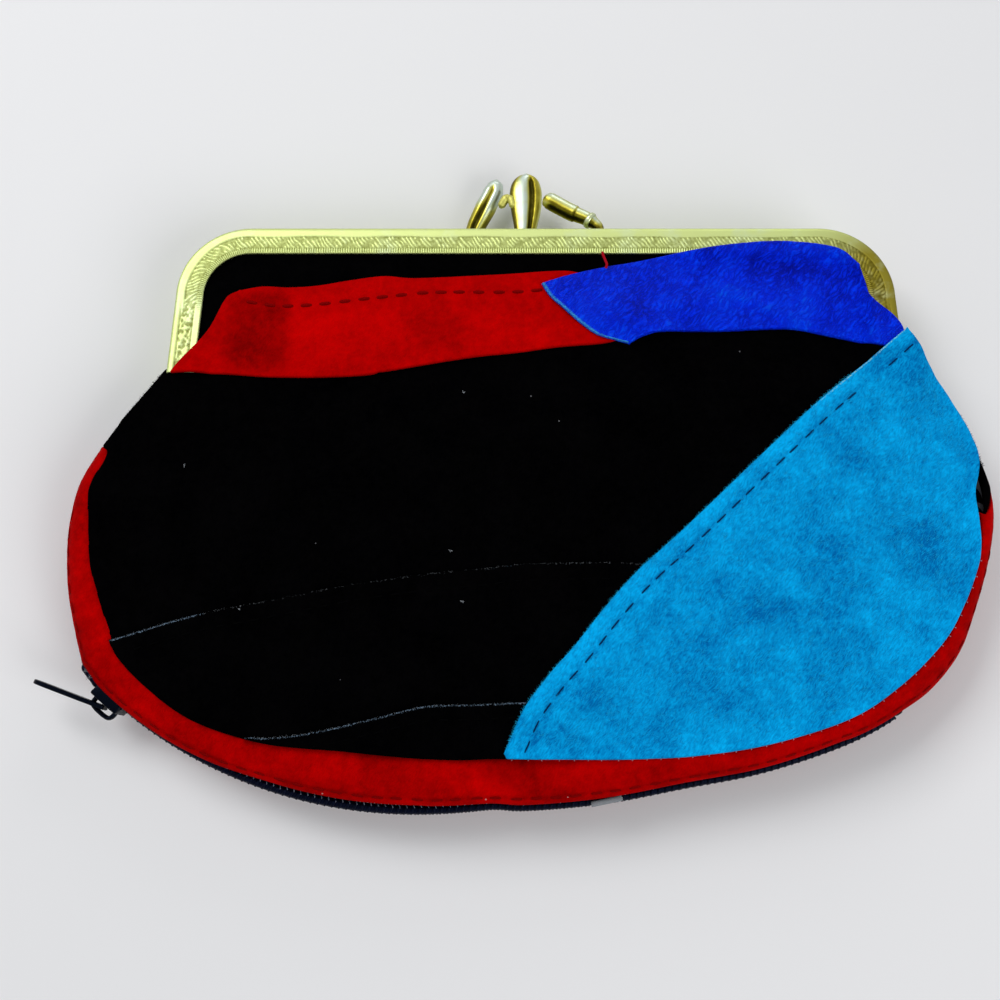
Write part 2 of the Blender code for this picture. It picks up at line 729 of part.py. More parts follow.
def make_gussets():
    shares = stations_between(left_side_share, right_side_share)
    close = gusset_close_length / outline_length
    shares += [zip_start_share - close, zip_start_share, zip_end_share, zip_end_share + close]
    shares = sorted(set(shares))
    for name, side in (("front_gusset", 1), ("back_gusset", -1)):
        sweep(name, [gusset_section(s, side) for s in shares], "red_suede")


def side_section(share):
    # Half ellipse from the front panel round to the back panel
    place, normal, band = rim(share)
    outer = []
    inner = []
    for turn in np.linspace(0.0, math.pi, 2 * gusset_steps - 1):
        far = math.sin(turn)
        fall = math.cos(turn)
        start_out = -band + fit_gap
        out = start_out + (-fit_gap - start_out) * far
        outer.append((*(place + normal * out), mid_z + sheet_edge_height * fall))
        out = start_out + (-fit_gap - suede_thickness - start_out) * far
        inner.append((*(place + normal * out), mid_z + (sheet_edge_height - suede_thickness) * fall))
    return outer + inner[::-1]


def make_sides():
    joint = fit_gap / outline_length
    runs = {"left_side_piece": (0.0, left_side_share - joint),
            "right_side_piece": (right_side_share + joint, 1.0)}
    for name, (first, last) in runs.items():
        sweep(name, [side_section(s) for s in stations_between(first, last)], "black_suede")


def rim_sweep(name, shares, section, material):
    # Section of (out, height) points carried along the outline
    rings = []
    for share in shares:
        place, normal, _ = rim(share)
        rings.append([(*(place + normal * out), mid_z + height) for out, height in section])
    sweep(name, rings, material)


def make_zip():
    joint = fit_gap / outline_length
    shares = stations_between(zip_start_share + joint, zip_end_share - joint)
    tape_out = -gusset_mouth_inset - fit_gap + tape_thickness / 2
    lower = fit_gap / 2
    for part, side in (("front", 1), ("back", -1)):
        tape = [(tape_out - tape_thickness, side * lower), (tape_out, side * lower),
                (tape_out, side * tape_height), (tape_out - tape_thickness, side * tape_height)]
        rim_sweep(part + "_zip_tape", shares, tape, "zip_cloth")
        coil = []
        for i in range(coil_sides):
            angle = 2 * math.pi * (i + 0.5) / coil_sides
            height = lower + coil_radius + coil_radius * math.sin(angle)
            coil.append((-coil_inset + coil_radius * math.cos(angle), side * height))
        rim_sweep(part + "_zip_coil", shares, coil, "zip_nylon")
    stop_start = zip_end_share + joint
    stop_end = stop_start + zip_stop_length / outline_length
    inner = -coil_inset - coil_radius
    stop = [(inner, -zip_stop_half_height), (0.0, -zip_stop_half_height),
            (0.0, zip_stop_half_height), (inner, zip_stop_half_height)]
    rim_sweep("zip_end_stop", [stop_start, stop_end], stop, "black_enamel")


def slider_place(along, out, height):
    # Slider coordinates: along the zip's run, out from the outline, up from the middle
    angle = math.radians(slider_rest_deg)
    x, y = arc_point(slider_rest_deg, out)
    return (x - along * math.sin(angle), y + along * math.cos(angle), mid_z + height)


def make_slider():
    plate_low = slider_stand_off
    plate_high = plate_low + slider_plate
    inner_height = slider_half_height - slider_flange
    profile = [(plate_high, -slider_half_height), (plate_high, slider_half_height),
               (-slider_throat, slider_half_height), (-slider_throat, inner_height),
               (plate_low, inner_height), (plate_low, -inner_height),
               (-slider_throat, -inner_height), (-slider_throat, -slider_half_height)]
    sections = [[slider_place(along, out, height) for out, height in profile]
                for along in (-slider_length / 2, slider_length / 2)]
    slider = sweep("zip_slider", sections, "black_enamel")
    foot = plate_high - bridge_wall / 2
    top = plate_high + bridge_opening
    reach = bridge_half_length
    inner = reach - bridge_wall
    arch = [(-reach, foot), (-inner, foot), (-inner, top), (inner, top), (inner, foot), (reach, foot),
            (reach, top), (inner, top + bridge_wall), (-inner, top + bridge_wall), (-reach, top)]
    sections = [[slider_place(along, out, height) for along, out in arch]
                for height in (-bridge_half_width, bridge_half_width)]
    bridge = hide_cutter(sweep("zip_slider_bridge", sections, None))
    add_boolean(slider, bridge, "UNION")


def make_pull():
    # Flat tab on edge, with an eye whose far bar lies under the slider's bridge
    axis_out = slider_stand_off + slider_plate + bridge_opening / 2
    pivot = Vector(slider_place(0.0, axis_out, 0.0))
    turn = math.radians(slider_rest_deg + pull_lift_deg) - math.pi / 2
    along = Vector((math.cos(turn), math.sin(turn), 0.0))
    across = Vector((-math.sin(turn), math.cos(turn), 0.0))
    half = pull_thickness / 2
    shoulder = pull_window
    tip = pull_length - pull_half_width
    tab = [(-half, -pull_eye_half_width), (shoulder, -pull_eye_half_width),
           (shoulder + half, -pull_half_width)]
    for angle in np.linspace(-math.pi / 2, math.pi / 2, tab_end_steps):
        tab.append((tip + pull_half_width * math.cos(angle), pull_half_width * math.sin(angle)))
    tab += [(shoulder + half, pull_half_width), (shoulder, pull_eye_half_width),
            (-half, pull_eye_half_width)]
    inner = pull_eye_half_width - pull_eye_bar
    window = [(half, -inner), (shoulder, -inner), (shoulder, inner), (half, inner)]
    reach = half + cut_overrun

    def cut_flat(name, points, depth, material):
        faces = [[pivot + along * u + across * n + Vector((0.0, 0.0, h)) for u, h in points]
                 for n in (-depth, depth)]
        return sweep(name, faces, material)

    pull = cut_flat("zip_pull", tab, half, "black_enamel")
    cutter = hide_cutter(cut_flat("zip_pull_window", window, reach, None))
    add_boolean(pull, cutter, "DIFFERENCE")


clear_scene()
make_patches()
make_linings()
make_inner_walls()
make_frame()
make_clasp()
make_gussets()
make_sides()
make_zip()
make_slider()
make_pull()
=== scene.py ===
import math
import bmesh
import bpy
import numpy as np
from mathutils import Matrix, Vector


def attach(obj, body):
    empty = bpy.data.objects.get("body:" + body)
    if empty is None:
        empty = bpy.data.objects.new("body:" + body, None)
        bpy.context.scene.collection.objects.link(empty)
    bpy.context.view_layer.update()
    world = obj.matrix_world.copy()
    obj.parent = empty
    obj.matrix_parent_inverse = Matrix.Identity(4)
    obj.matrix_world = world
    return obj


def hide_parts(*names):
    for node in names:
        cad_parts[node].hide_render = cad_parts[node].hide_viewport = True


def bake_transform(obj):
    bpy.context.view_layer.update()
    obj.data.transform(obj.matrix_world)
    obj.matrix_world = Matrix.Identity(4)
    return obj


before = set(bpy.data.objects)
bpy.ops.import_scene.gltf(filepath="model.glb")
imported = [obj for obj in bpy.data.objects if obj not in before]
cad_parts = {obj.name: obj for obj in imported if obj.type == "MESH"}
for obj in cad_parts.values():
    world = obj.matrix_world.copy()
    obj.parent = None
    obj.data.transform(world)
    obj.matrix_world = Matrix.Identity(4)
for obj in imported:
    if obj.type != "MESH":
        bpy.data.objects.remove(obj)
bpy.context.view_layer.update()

# Everything below is worked out in millimetres and made metres in addPiece.
# x runs along the frame, y from the foot to the clasp, z from the back to the front.
mm = 0.001
midZ = 9.0
hingeY = 29.0


# Shared working functions

def smoothStep(t):  # 3t^2 - 2t^3, held to 0 and 1 outside
    t = np.clip(t, 0.0, 1.0)
    return t * t * (3.0 - 2.0 * t)


def bump(t):  # bell of height 1 at t = 0
    return np.exp(-t * t)


def circle(count):  # equal turns round a full circle
    return np.linspace(0.0, 2 * math.pi, count, endpoint=False)


def unit(vectors):  # the same directions with length 1
    return vectors / np.maximum(np.linalg.norm(vectors, axis=-1, keepdims=True), 1e-12)


def atHeight(plan, height):  # places on a plan, at a height above the middle plane
    return np.concatenate([plan, np.broadcast_to(midZ + height, plan.shape[:-1])[..., None]], -1)


def curveThrough(points, steps):  # Catmull-Rom curve through the points
    p = np.asarray(points, float)
    padded = np.vstack([2 * p[0] - p[1], p, 2 * p[-1] - p[-2]])
    a, b, c, d = (padded[k:k + len(p) - 1][:, None, :] for k in range(4))
    u = np.linspace(0.0, 1.0, steps, endpoint=False)[None, :, None]
    run = 0.5 * (2 * b + (c - a) * u + (2 * a - 5 * b + 4 * c - d) * u ** 2
                 + (3 * b - a - 3 * c + d) * u ** 3)
    return np.vstack([run.reshape(-1, p.shape[1]), p[-1:]])


def runOf(points):  # distance along a line of points, from its start
    return np.concatenate([[0.0], np.cumsum(np.linalg.norm(np.diff(points, axis=0), axis=1))])


def evenly(points, count):  # the same line with points at equal distances
    points = np.asarray(points, float)
    run = runOf(points)
    at = np.linspace(0.0, run[-1], count)
    return np.column_stack([np.interp(at, run, points[:, k]) for k in range(points.shape[1])])


def waves(x, y, seed, count, shortest, longest):
    # Sum of plane waves in random directions, the short ones lower
    rng = np.random.default_rng(seed)
    total = np.zeros(np.broadcast(x, y).shape)
    for length, turn, phase in zip(np.geomspace(longest, shortest, count),
                                   rng.uniform(0, math.pi, count), rng.uniform(0, 6.28, count)):
        across = (x * math.cos(turn) + y * math.sin(turn)) / length
        total += (length / longest) ** 0.7 * np.sin(6.28 * across + phase)
    return total / math.sqrt(count)


def distanceTo(x, y, line):  # shortest distance from each place to a line of points
    best = np.full(np.shape(x), 1e9)
    for a, b in zip(line[:-1], line[1:]):
        dx, dy = b - a
        t = np.clip(((x - a[0]) * dx + (y - a[1]) * dy) / (dx * dx + dy * dy + 1e-12), 0.0, 1.0)
        best = np.minimum(best, np.hypot(x - a[0] - t * dx, y - a[1] - t * dy))
    return best


def gridFaces(rows, columns, start=0, closeRows=False, closeColumns=False):
    i = np.arange(rows if closeRows else rows - 1)
    j = np.arange(columns if closeColumns else columns - 1)
    i, j = (k.ravel() for k in np.meshgrid(i, j, indexing="ij"))
    nextI, nextJ = (i + 1) % rows, (j + 1) % columns
    return start + np.column_stack([i * columns + j, nextI * columns + j,
                                    nextI * columns + nextJ, i * columns + nextJ])


def addPiece(name, places, faceSets, material, uv=None, shade=None, outwards=True, tone=None):
    # Arrays straight into a mesh. faceSets are arrays of triangles or of quads.
    mesh = bpy.data.meshes.new(name)
    places = np.asarray(places, float).reshape(-1, 3)
    mesh.vertices.add(len(places))
    mesh.vertices.foreach_set("co", (places * mm).ravel())
    corners = np.concatenate([np.asarray(f).ravel() for f in faceSets])
    totals = np.concatenate([np.full(len(f), np.shape(f)[1]) for f in faceSets])
    mesh.loops.add(len(corners))
    mesh.loops.foreach_set("vertex_index", corners.astype(np.int32))
    mesh.polygons.add(len(totals))
    starts = np.concatenate([[0], np.cumsum(totals)[:-1]])
    mesh.polygons.foreach_set("loop_start", starts.astype(np.int32))
    mesh.update(calc_edges=True)
    if uv is not None:
        layer = mesh.uv_layers.new(name="UVMap")
        layer.data.foreach_set("uv", np.asarray(uv, float).reshape(-1, 2)[corners].ravel())
    for kind, values in (("relief", shade), ("tone", tone)):
        if values is not None:
            attribute = mesh.attributes.new(kind, "FLOAT", "POINT")
            attribute.data.foreach_set("value", np.asarray(values, np.float32).ravel())
    if outwards:
        shape = bmesh.new()
        shape.from_mesh(mesh)
        bmesh.ops.recalc_face_normals(shape, faces=shape.faces)
        shape.to_mesh(mesh)
        shape.free()
    mesh.polygons.foreach_set("use_smooth", np.ones(len(totals), bool))
    mesh.materials.append(material)
    piece = bpy.data.objects.new(name, mesh)
    bpy.context.scene.collection.objects.link(piece)
    return piece


def closedSheet(name, top, bottom, material, bulge=0.35, uv=None, shade=None, tone=None):
    # Two grids joined round their edge by a half round rim:
    # rim(a) = top + (bottom - top)(1 - cos a)/2 + outwards * bulge * sin a
    rows, columns = top.shape[:2]
    i = np.concatenate([np.arange(rows), np.full(columns - 2, rows - 1), np.arange(rows)[::-1],
                        np.zeros(columns - 2, int)])
    j = np.concatenate([np.zeros(rows, int), np.arange(1, columns - 1),
                        np.full(rows, columns - 1), np.arange(1, columns - 1)[::-1]])
    inside = top[np.clip(i, 1, rows - 2), np.clip(j, 1, columns - 2)]
    outward = unit(top[i, j] - inside)
    angles = np.radians([36.0, 72.0, 108.0, 144.0])[:, None, None]
    rim = (top[i, j] + (bottom[i, j] - top[i, j]) * (1 - np.cos(angles)) / 2
           + outward * bulge * np.sin(angles))
    count = rows * columns
    loop = len(i)
    places = np.vstack([top.reshape(-1, 3), bottom.reshape(-1, 3), rim.reshape(-1, 3)])
    upper = gridFaces(rows, columns)
    lower = gridFaces(rows, columns, count)[:, ::-1]
    rings = [i * columns + j] + [2 * count + k * loop + np.arange(loop) for k in range(4)]
    rings.append(count + i * columns + j)
    sides = [np.column_stack([a, np.roll(a, -1), np.roll(b, -1), b]) for a, b in zip(rings, rings[1:])]
    if uv is not None:
        edgeUv = uv[i, j]
        uv = np.vstack([uv.reshape(-1, 2)] * 2 + [edgeUv] * 4)
    if shade is not None:
        edgeShade = shade[i, j]
        walls = [edgeShade * k for k in (0.9, 0.5, 0.2, 0.0)]
        shade = np.concatenate([shade.ravel(), 0 * shade.ravel()] + walls)
    if tone is not None:
        tone = np.concatenate([tone.ravel()] * 2 + [tone[i, j]] * 4)
    return addPiece(name, places, [upper, lower] + sides, material, uv, shade, True, tone)


def sweptPiece(name, sections, material, shade=None, closed=False):
    # Equal loops of points, one after the other, closed at both ends by fans
    count, around = sections.shape[:2]
    places = sections.reshape(-1, 3)
    faces = [gridFaces(count, around, closeRows=closed, closeColumns=True)]
    if not closed:
        middles = np.vstack([sections[0].mean(0), sections[-1].mean(0)])
        places = np.vstack([places, middles])
        k = np.arange(around)
        first = np.column_stack([k, (k + 1) % around, np.full(around, count * around)])
        last = (count - 1) * around
        second = np.column_stack([last + (k + 1) % around, last + k, np.full(around, count * around + 1)])
        faces += [first, second]
        if shade is not None:
            shade = np.concatenate([shade.ravel(), [shade[0].mean(), shade[-1].mean()]])
    return addPiece(name, places, faces, material, shade=shade)


def tubeSections(path, radius, around, flatten=1.0, up=(0.0, 0.0, 1.0)):
    # Circles square to a path: place + radius (across cos a + up sin a)
    path = np.asarray(path, float)
    along = unit(np.gradient(path, axis=0))
    across = unit(np.cross(along, np.broadcast_to(up, path.shape)))
    rise = np.cross(across, along)
    a = circle(around)[None, :, None]
    radius = np.broadcast_to(np.asarray(radius, float), (len(path),))[:, None, None]
    return path[:, None] + radius * (across[:, None] * np.cos(a) + flatten * rise[:, None] * np.sin(a))


def manyOf(name, shapes, faceSets, material):
    # The same small shape many times: shapes is (copies, points, 3)
    copies, count = shapes.shape[:2]
    steps = (np.arange(copies) * count)[:, None, None]
    faces = [(np.asarray(f)[None] + steps).reshape(-1, np.shape(f)[1]) for f in faceSets]
    return addPiece(name, shapes.reshape(-1, 3), faces, material, outwards=False)


def fasten(piece, held, slot, *nodes):  # held: the body it rides, or a function that takes the piece; the two blends only bake its transform
    if callable(held):
        held(piece)
    else:
        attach(piece, held)
    if nodes:
        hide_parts(*nodes)


def blendAcrossFrame(piece):  # fabric from the front bar down to the hinge line; it only bakes the piece's transform
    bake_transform(piece)


def blendBelowHinge(piece):  # fabric from the hinge line down to the still bag; it only bakes the piece's transform
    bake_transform(piece)


bendRows = {"top": 32.8, "cut": 26.7, "foot": 15.0}


# Outline of the body, the same curve as in the part

outlineShape = {
    "halfBody": 94.0, "drop": 89.0, "startX": 79.0, "arcRadius": 93.0036,
    "arcCentre": (-23.5, 33.0036), "arcFrom": 224.0, "arcTo": 279.0,
    "left": [(-0.899, 0.109), (-0.953, 0.191), (-0.989, 0.270), (-1.0, 0.345), (-0.999, 0.430),
             (-0.988, 0.540)],
    "right": [(0.128, 0.968), (0.312, 0.936), (0.486, 0.898), (0.660, 0.837), (0.787, 0.758),
              (0.878, 0.663), (0.926, 0.560), (0.961, 0.461), (0.983, 0.371), (0.985, 0.292),
              (0.968, 0.213), (0.931, 0.109)],
    # (share of the run, width of the band between the outline and the panel's seam)
    "band": [(0.0, 1.7), (0.02, 1.3), (0.036, 1.25), (0.043, 1.7), (0.055, 2.8), (0.066, 3.8), (0.083, 3.9),
             (0.100, 4.6), (0.114, 5.1), (0.133, 5.6), (0.151, 6.2), (0.176, 7.8), (0.195, 8.3), (0.210, 8.0),
             (0.250, 7.0), (0.282, 6.6), (0.312, 7.4), (0.340, 8.7), (0.367, 10.2), (0.391, 11.1),
             (0.420, 11.2), (0.451, 10.7), (0.485, 9.8), (0.513, 9.0), (0.545, 8.2), (0.583, 6.7),
             (0.610, 5.6), (0.656, 4.8), (0.715, 4.5), (0.754, 5.0), (0.790, 5.0), (0.828, 3.9),
             (0.862, 3.4), (0.898, 3.3), (0.94, 3.4), (1.0, 3.6)],
    # (share of the run, how far the soft edge stands out past the plain outline)
    "swell": [(0.0, -2.0), (0.012, -1.6), (0.03, -0.8), (0.05, -0.2), (0.09, 0.0), (0.13, 0.6), (0.160, 0.45),
              (0.185, -0.35), (0.202, -0.85), (0.216, -0.5), (0.235, 0.0), (0.34, 0.0), (0.47, 0.0),
              (0.505, 0.9), (0.55, 0.9), (0.60, 0.6), (0.645, 0.7), (0.70, 0.5), (0.76, 0.4), (0.82, 0.1),
              (0.88, -0.3), (0.94, -0.3), (1.0, 0.0)],
}


def bodyPoint(share):
    return (share[0] * outlineShape["halfBody"], hingeY - share[1] * outlineShape["drop"])


def arcPoint(turn, out=0.0):
    turn = np.radians(turn)
    reach = outlineShape["arcRadius"] + out
    centre = outlineShape["arcCentre"]
    return np.stack([centre[0] + reach * np.cos(turn), centre[1] + reach * np.sin(turn)], -1)


def bodyOutline():
    coarse = arcPoint(np.linspace(outlineShape["arcFrom"], outlineShape["arcTo"], 12))
    left = [(-outlineShape["startX"], hingeY)] + [bodyPoint(s) for s in outlineShape["left"]]
    right = [bodyPoint(s) for s in outlineShape["right"]] + [(outlineShape["startX"], hingeY)]
    leftRun = curveThrough(np.vstack([left, coarse[:2]]), 8)[:-8]
    rightRun = curveThrough(np.vstack([coarse[-2:], right]), 8)[8:]
    fine = arcPoint(np.linspace(outlineShape["arcFrom"], outlineShape["arcTo"], 96))
    return np.vstack([leftRun[:-1], fine, rightRun[1:]])


outline = evenly(bodyOutline(), 1800)
outlineRun = runOf(outline)
outlineLength = outlineRun[-1]
outlineTangent = np.gradient(outline, axis=0)
kernel = np.ones(39) / 39
outlineTangent = np.column_stack([np.convolve(np.pad(outlineTangent[:, k], 19, mode="edge"), kernel, "valid")
                                  for k in range(2)])
outlineNormal = unit(np.column_stack([outlineTangent[:, 1], -outlineTangent[:, 0]]))


swellTable = curveThrough(outlineShape["swell"], 8)
bandTable = curveThrough(outlineShape["band"], 8)


def swellAt(share):
    return np.interp(share, swellTable[:, 0], swellTable[:, 1])


def rim(share, out=0.0):  # places a distance outside the soft edge, at shares of its run
    run = np.asarray(share, float) * outlineLength
    place = np.stack([np.interp(run, outlineRun, outline[:, k]) for k in range(2)], -1)
    normal = np.stack([np.interp(run, outlineRun, outlineNormal[:, k]) for k in range(2)], -1)
    return place + normal * (np.asarray(out) + swellAt(share))[..., None], normal


def bandAt(share):  # from the soft edge in to the panel's seam
    return np.interp(share, bandTable[:, 0], bandTable[:, 1]) + np.maximum(swellAt(share), 0.0)


seamShares = np.linspace(0.0, 1.0, 1200)
seamLine = rim(seamShares, -bandAt(seamShares))[0]


def seamShareNear(x, y):
    return seamShares[np.argmin(np.hypot(seamLine[:, 0] - x, seamLine[:, 1] - y))]


def seamFrom(first, last, count):  # the panel's seam between two places near it
    shares = np.linspace(seamShareNear(*first), seamShareNear(*last), 200)
    return evenly(np.column_stack([np.interp(shares, seamShares, seamLine[:, k]) for k in range(2)]), count)


# Height of the front face

frontShape = {
    "edgeHeight": 6.1, "crownHeight": 9.0, "shoulder": 0.36, "centre": (0.0, -0.5),
    "rightBulge": [(86.9, -10.84), (87.4, -7.2), (87.3, -2.6), (87.0, 2.4), (87.9, 6.2), (88.4, 9.6),
                   (88.2, 12.8), (87.1, 16.2), (85.0, 20.4), (82.1, 25.7), (78.6, 30.9), (76.5, 33.9),
                   (75.3, 35.5)],
    "suede": 1.0, "lap": 1.06,
}
barShape = {
    "halfFrame": 75.0, "face": 5.7, "wall": 0.6, "cornerRadius": 12.3, "splay": 1.0, "topY": 59.0,
    "armEnd": 32.3, "tongueEnd": 30.1, "middle": (-1.9, 1.9), "outer": (2.3, 7.3),
}


def barLine(out, armEnd, cornerSteps=24):  # centre line of a bar from the right arm to the left
    reach = barShape["halfFrame"] - barShape["face"] / 2
    centreX = reach - barShape["splay"] - barShape["cornerRadius"]
    centreY = barShape["topY"] - barShape["face"] / 2 - barShape["cornerRadius"]
    turn = np.linspace(0.0, math.pi / 2, cornerSteps)
    radius = barShape["cornerRadius"] + out
    corner = np.column_stack([centreX + radius * np.cos(turn), centreY + radius * np.sin(turn)])
    right = np.vstack([[(reach + out, armEnd)], corner])
    return np.vstack([right, right[::-1] * [-1, 1]])


def skinOutline():  # closed edge of the front face: seam, bulge over the right hinge, inside of the bar
    start = seamShareNear(86.9, -10.84)
    seam = seamLine[seamShares <= start]
    edge = np.vstack([seam, curveThrough(frontShape["rightBulge"], 8)[1:], barLine(0.0, 40.0), seam[:1]])
    return evenly(edge, 2400)


skinEdge = skinOutline()
skinAngles = np.arctan2(skinEdge[:, 1] - frontShape["centre"][1], skinEdge[:, 0] - frontShape["centre"][0])
skinReach = np.hypot(skinEdge[:, 0] - frontShape["centre"][0], skinEdge[:, 1] - frontShape["centre"][1])
angleTable = np.linspace(-math.pi, math.pi, 1441)
order = np.argsort(skinAngles)
reachTable = np.interp(angleTable, skinAngles[order], skinReach[order], period=2 * math.pi)


def skinShare(x, y):  # 0 in the middle of the front face and 1 on its edge
    dx, dy = x - frontShape["centre"][0], y - frontShape["centre"][1]
    return np.hypot(dx, dy) / np.interp(np.arctan2(dy, dx), angleTable, reachTable)


frontFolds = [
    # line of the fold, width, height
    ([(31.0, -27.0), (39.0, -22.5), (54.0, -20.5), (63.0, -26.5)], 2.2, -0.42),
    ([(34.0, -31.0), (43.0, -26.0), (56.0, -24.0)], 2.6, 0.28),
    ([(-60.0, 12.0), (-40.0, 6.0), (-15.0, 4.0)], 6.0, -0.30),
    ([(-20.0, 14.0), (5.0, 9.0), (30.0, 12.0)], 7.0, 0.30),
    ([(72.0, 8.0), (80.0, 0.0), (82.0, -12.0)], 3.0, -0.30),
    ([(45.0, 51.5), (52.0, 50.0), (60.0, 48.5)], 1.6, -0.45),
    ([(38.0, 45.5), (46.0, 41.0), (55.0, 37.5)], 1.5, 0.35),
    ([(-78.0, 8.0), (-82.0, -4.0), (-80.0, -18.0)], 3.5, 0.25),
    ([(-69.0, 21.0), (-58.0, 19.0), (-46.0, 20.5)], 3.0, -0.35),
    ([(48.0, 29.5), (60.0, 27.5), (68.0, 29.5)], 2.4, 0.30),
]


def frontHeight(x, y):
    # Edge height, plus the crown by the share of the way in, plus folds, slack and
    # small puckers that die away from the seam
    share = skinShare(x, y)
    inward = smoothStep((1.0 - share) / frontShape["shoulder"])
    height = frontShape["edgeHeight"] + (frontShape["crownHeight"] - frontShape["edgeHeight"] - 0.35) * inward
    for line, width, rise in frontFolds:
        height = height + rise * bump(distanceTo(x, y, curveThrough(line, 6)) / width) * inward
    height = height + 0.22 * waves(x, y, 4, 9, 9.0, 46.0) * inward
    angle = np.arctan2(y, x)
    pucker = np.sin(61 * angle + 3 * np.sin(7 * angle)) * smoothStep((share - 0.70) / 0.22)
    pucker = pucker * smoothStep((1.02 - share) / 0.10) * (y < 24)
    return height + 0.16 * pucker


def overBar(x, y):  # 0 well inside the bar's inner edge, 1 on the bar
    halfWidth, top = 69.0, 53.3
    radius = 9.6
    dx = np.abs(x) - (halfWidth - radius)
    dy = y - (top - radius)
    outside = np.hypot(np.maximum(dx, 0), np.maximum(dy, 0)) + np.minimum(np.maximum(dx, dy), 0) - radius
    return smoothStep((outside + 3.2) / 3.2)


# Lines of the patches, read from the photograph

patchLines = {
    "redTop": [(-60.8, 44.8), (-56.1, 45.5), (-50.8, 45.1), (-44.8, 45.5), (-37.9, 46.8), (-31.1, 47.7),
               (-24.2, 47.2), (-7.3, 48.1), (3.5, 48.9), (8.5, 48.6), (14.0, 46.5)],
    "redLeft": [(-73.6, 27.3), (-71.6, 29.9), (-68.8, 33.2), (-65.6, 38.6), (-63.8, 42.4), (-62.7, 43.9),
                (-60.8, 44.8)],
    "redFoot": [(-73.6, 27.3), (-69.5, 27.5), (-62.9, 27.1), (-52.8, 26.1), (-41.9, 26.0), (-33.5, 26.5),
                (-31.5, 27.1), (-29.5, 27.3), (-18.8, 29.2), (-11.2, 30.4), (-3.5, 31.3), (4.2, 32.4),
                (12.5, 33.0), (17.0, 34.0)],
    "blueLeft": [(18.6, 32.6), (16.0, 33.3), (12.3, 34.5), (9.0, 37.0), (5.8, 40.2), (3.1, 43.0),
                 (1.5, 45.7)],
    "blueTop": [(1.5, 45.7), (7.4, 47.7), (17.3, 50.1), (25.5, 52.1), (34.0, 53.6), (42.3, 54.7),
                (50.5, 55.2), (58.7, 54.5), (63.2, 53.2), (66.3, 50.3)],
    "blueRight": [(73.0, 32.2), (74.4, 34.2), (74.3, 36.6), (72.7, 39.2), (69.6, 42.0), (68.0, 44.0),
                  (67.3, 46.8), (66.3, 50.3)],
    "blueFoot": [(18.6, 32.4), (21.4, 34.0), (26.3, 35.2), (38.6, 35.6), (48.0, 36.2), (52.9, 36.2),
                 (60.5, 34.9), (65.7, 34.0), (70.4, 32.9), (73.0, 32.2)],
    "turquoiseLeft": [(-6.3, -48.3), (-4.9, -45.2), (-2.4, -40.0), (2.4, -33.7), (7.0, -28.6),
                      (12.9, -21.3), (19.6, -13.9), (29.6, -4.8), (46.8, 11.5), (57.9, 21.8),
                      (69.4, 31.3), (74.3, 35.5)],
    "blackEdge": [(-83.4, -27.4), (-80.8, -26.5), (-66.2, -22.4), (-52.3, -19.9), (-36.9, -16.8),
                  (-21.5, -14.6), (-10.2, -13.5), (-3.6, -12.7), (14.2, -12.3), (20.8, -12.7), (27.0, -12.9)],
    "footEdge": [(-54.6, -45.4), (-52.0, -45.6), (-45.2, -45.0), (-37.6, -43.5), (-32.0, -42.2),
                 (-26.3, -40.8), (-20.6, -39.7), (-13.0, -39.5), (-2.6, -39.1), (4.0, -39.3)],
}
lines = {name: curveThrough(points, 14) for name, points in patchLines.items()}


def yOn(line, x):  # height of a line that runs from left to right
    return np.interp(x, lines[line][:, 0], lines[line][:, 1])


def fromTurquoise(x, y):  # distance inside the turquoise patch's sewn edge, below 0 outside it
    line = lines["turquoiseLeft"]
    return (x - np.interp(y, line[:, 1], line[:, 0])) * 0.74


def fromBlue(x, y):  # distance inside the blue patch's raw edge
    line = lines["blueLeft"]
    return (x - np.interp(y, line[:, 1], line[:, 0])) * 0.62


def levelUnderTurquoise(x, y):
    # The black pieces below, with their steps eased ahead of each step
    below = yOn("blackEdge", x) - y
    belowFoot = yOn("footEdge", x) - y
    lap = frontShape["lap"]
    first = lap * (smoothStep((below + 2.5) / 2.5) - 0.7 * smoothStep((below - 5.0) / 9.0))
    return first + lap * smoothStep((belowFoot + 2.5) / 2.5)


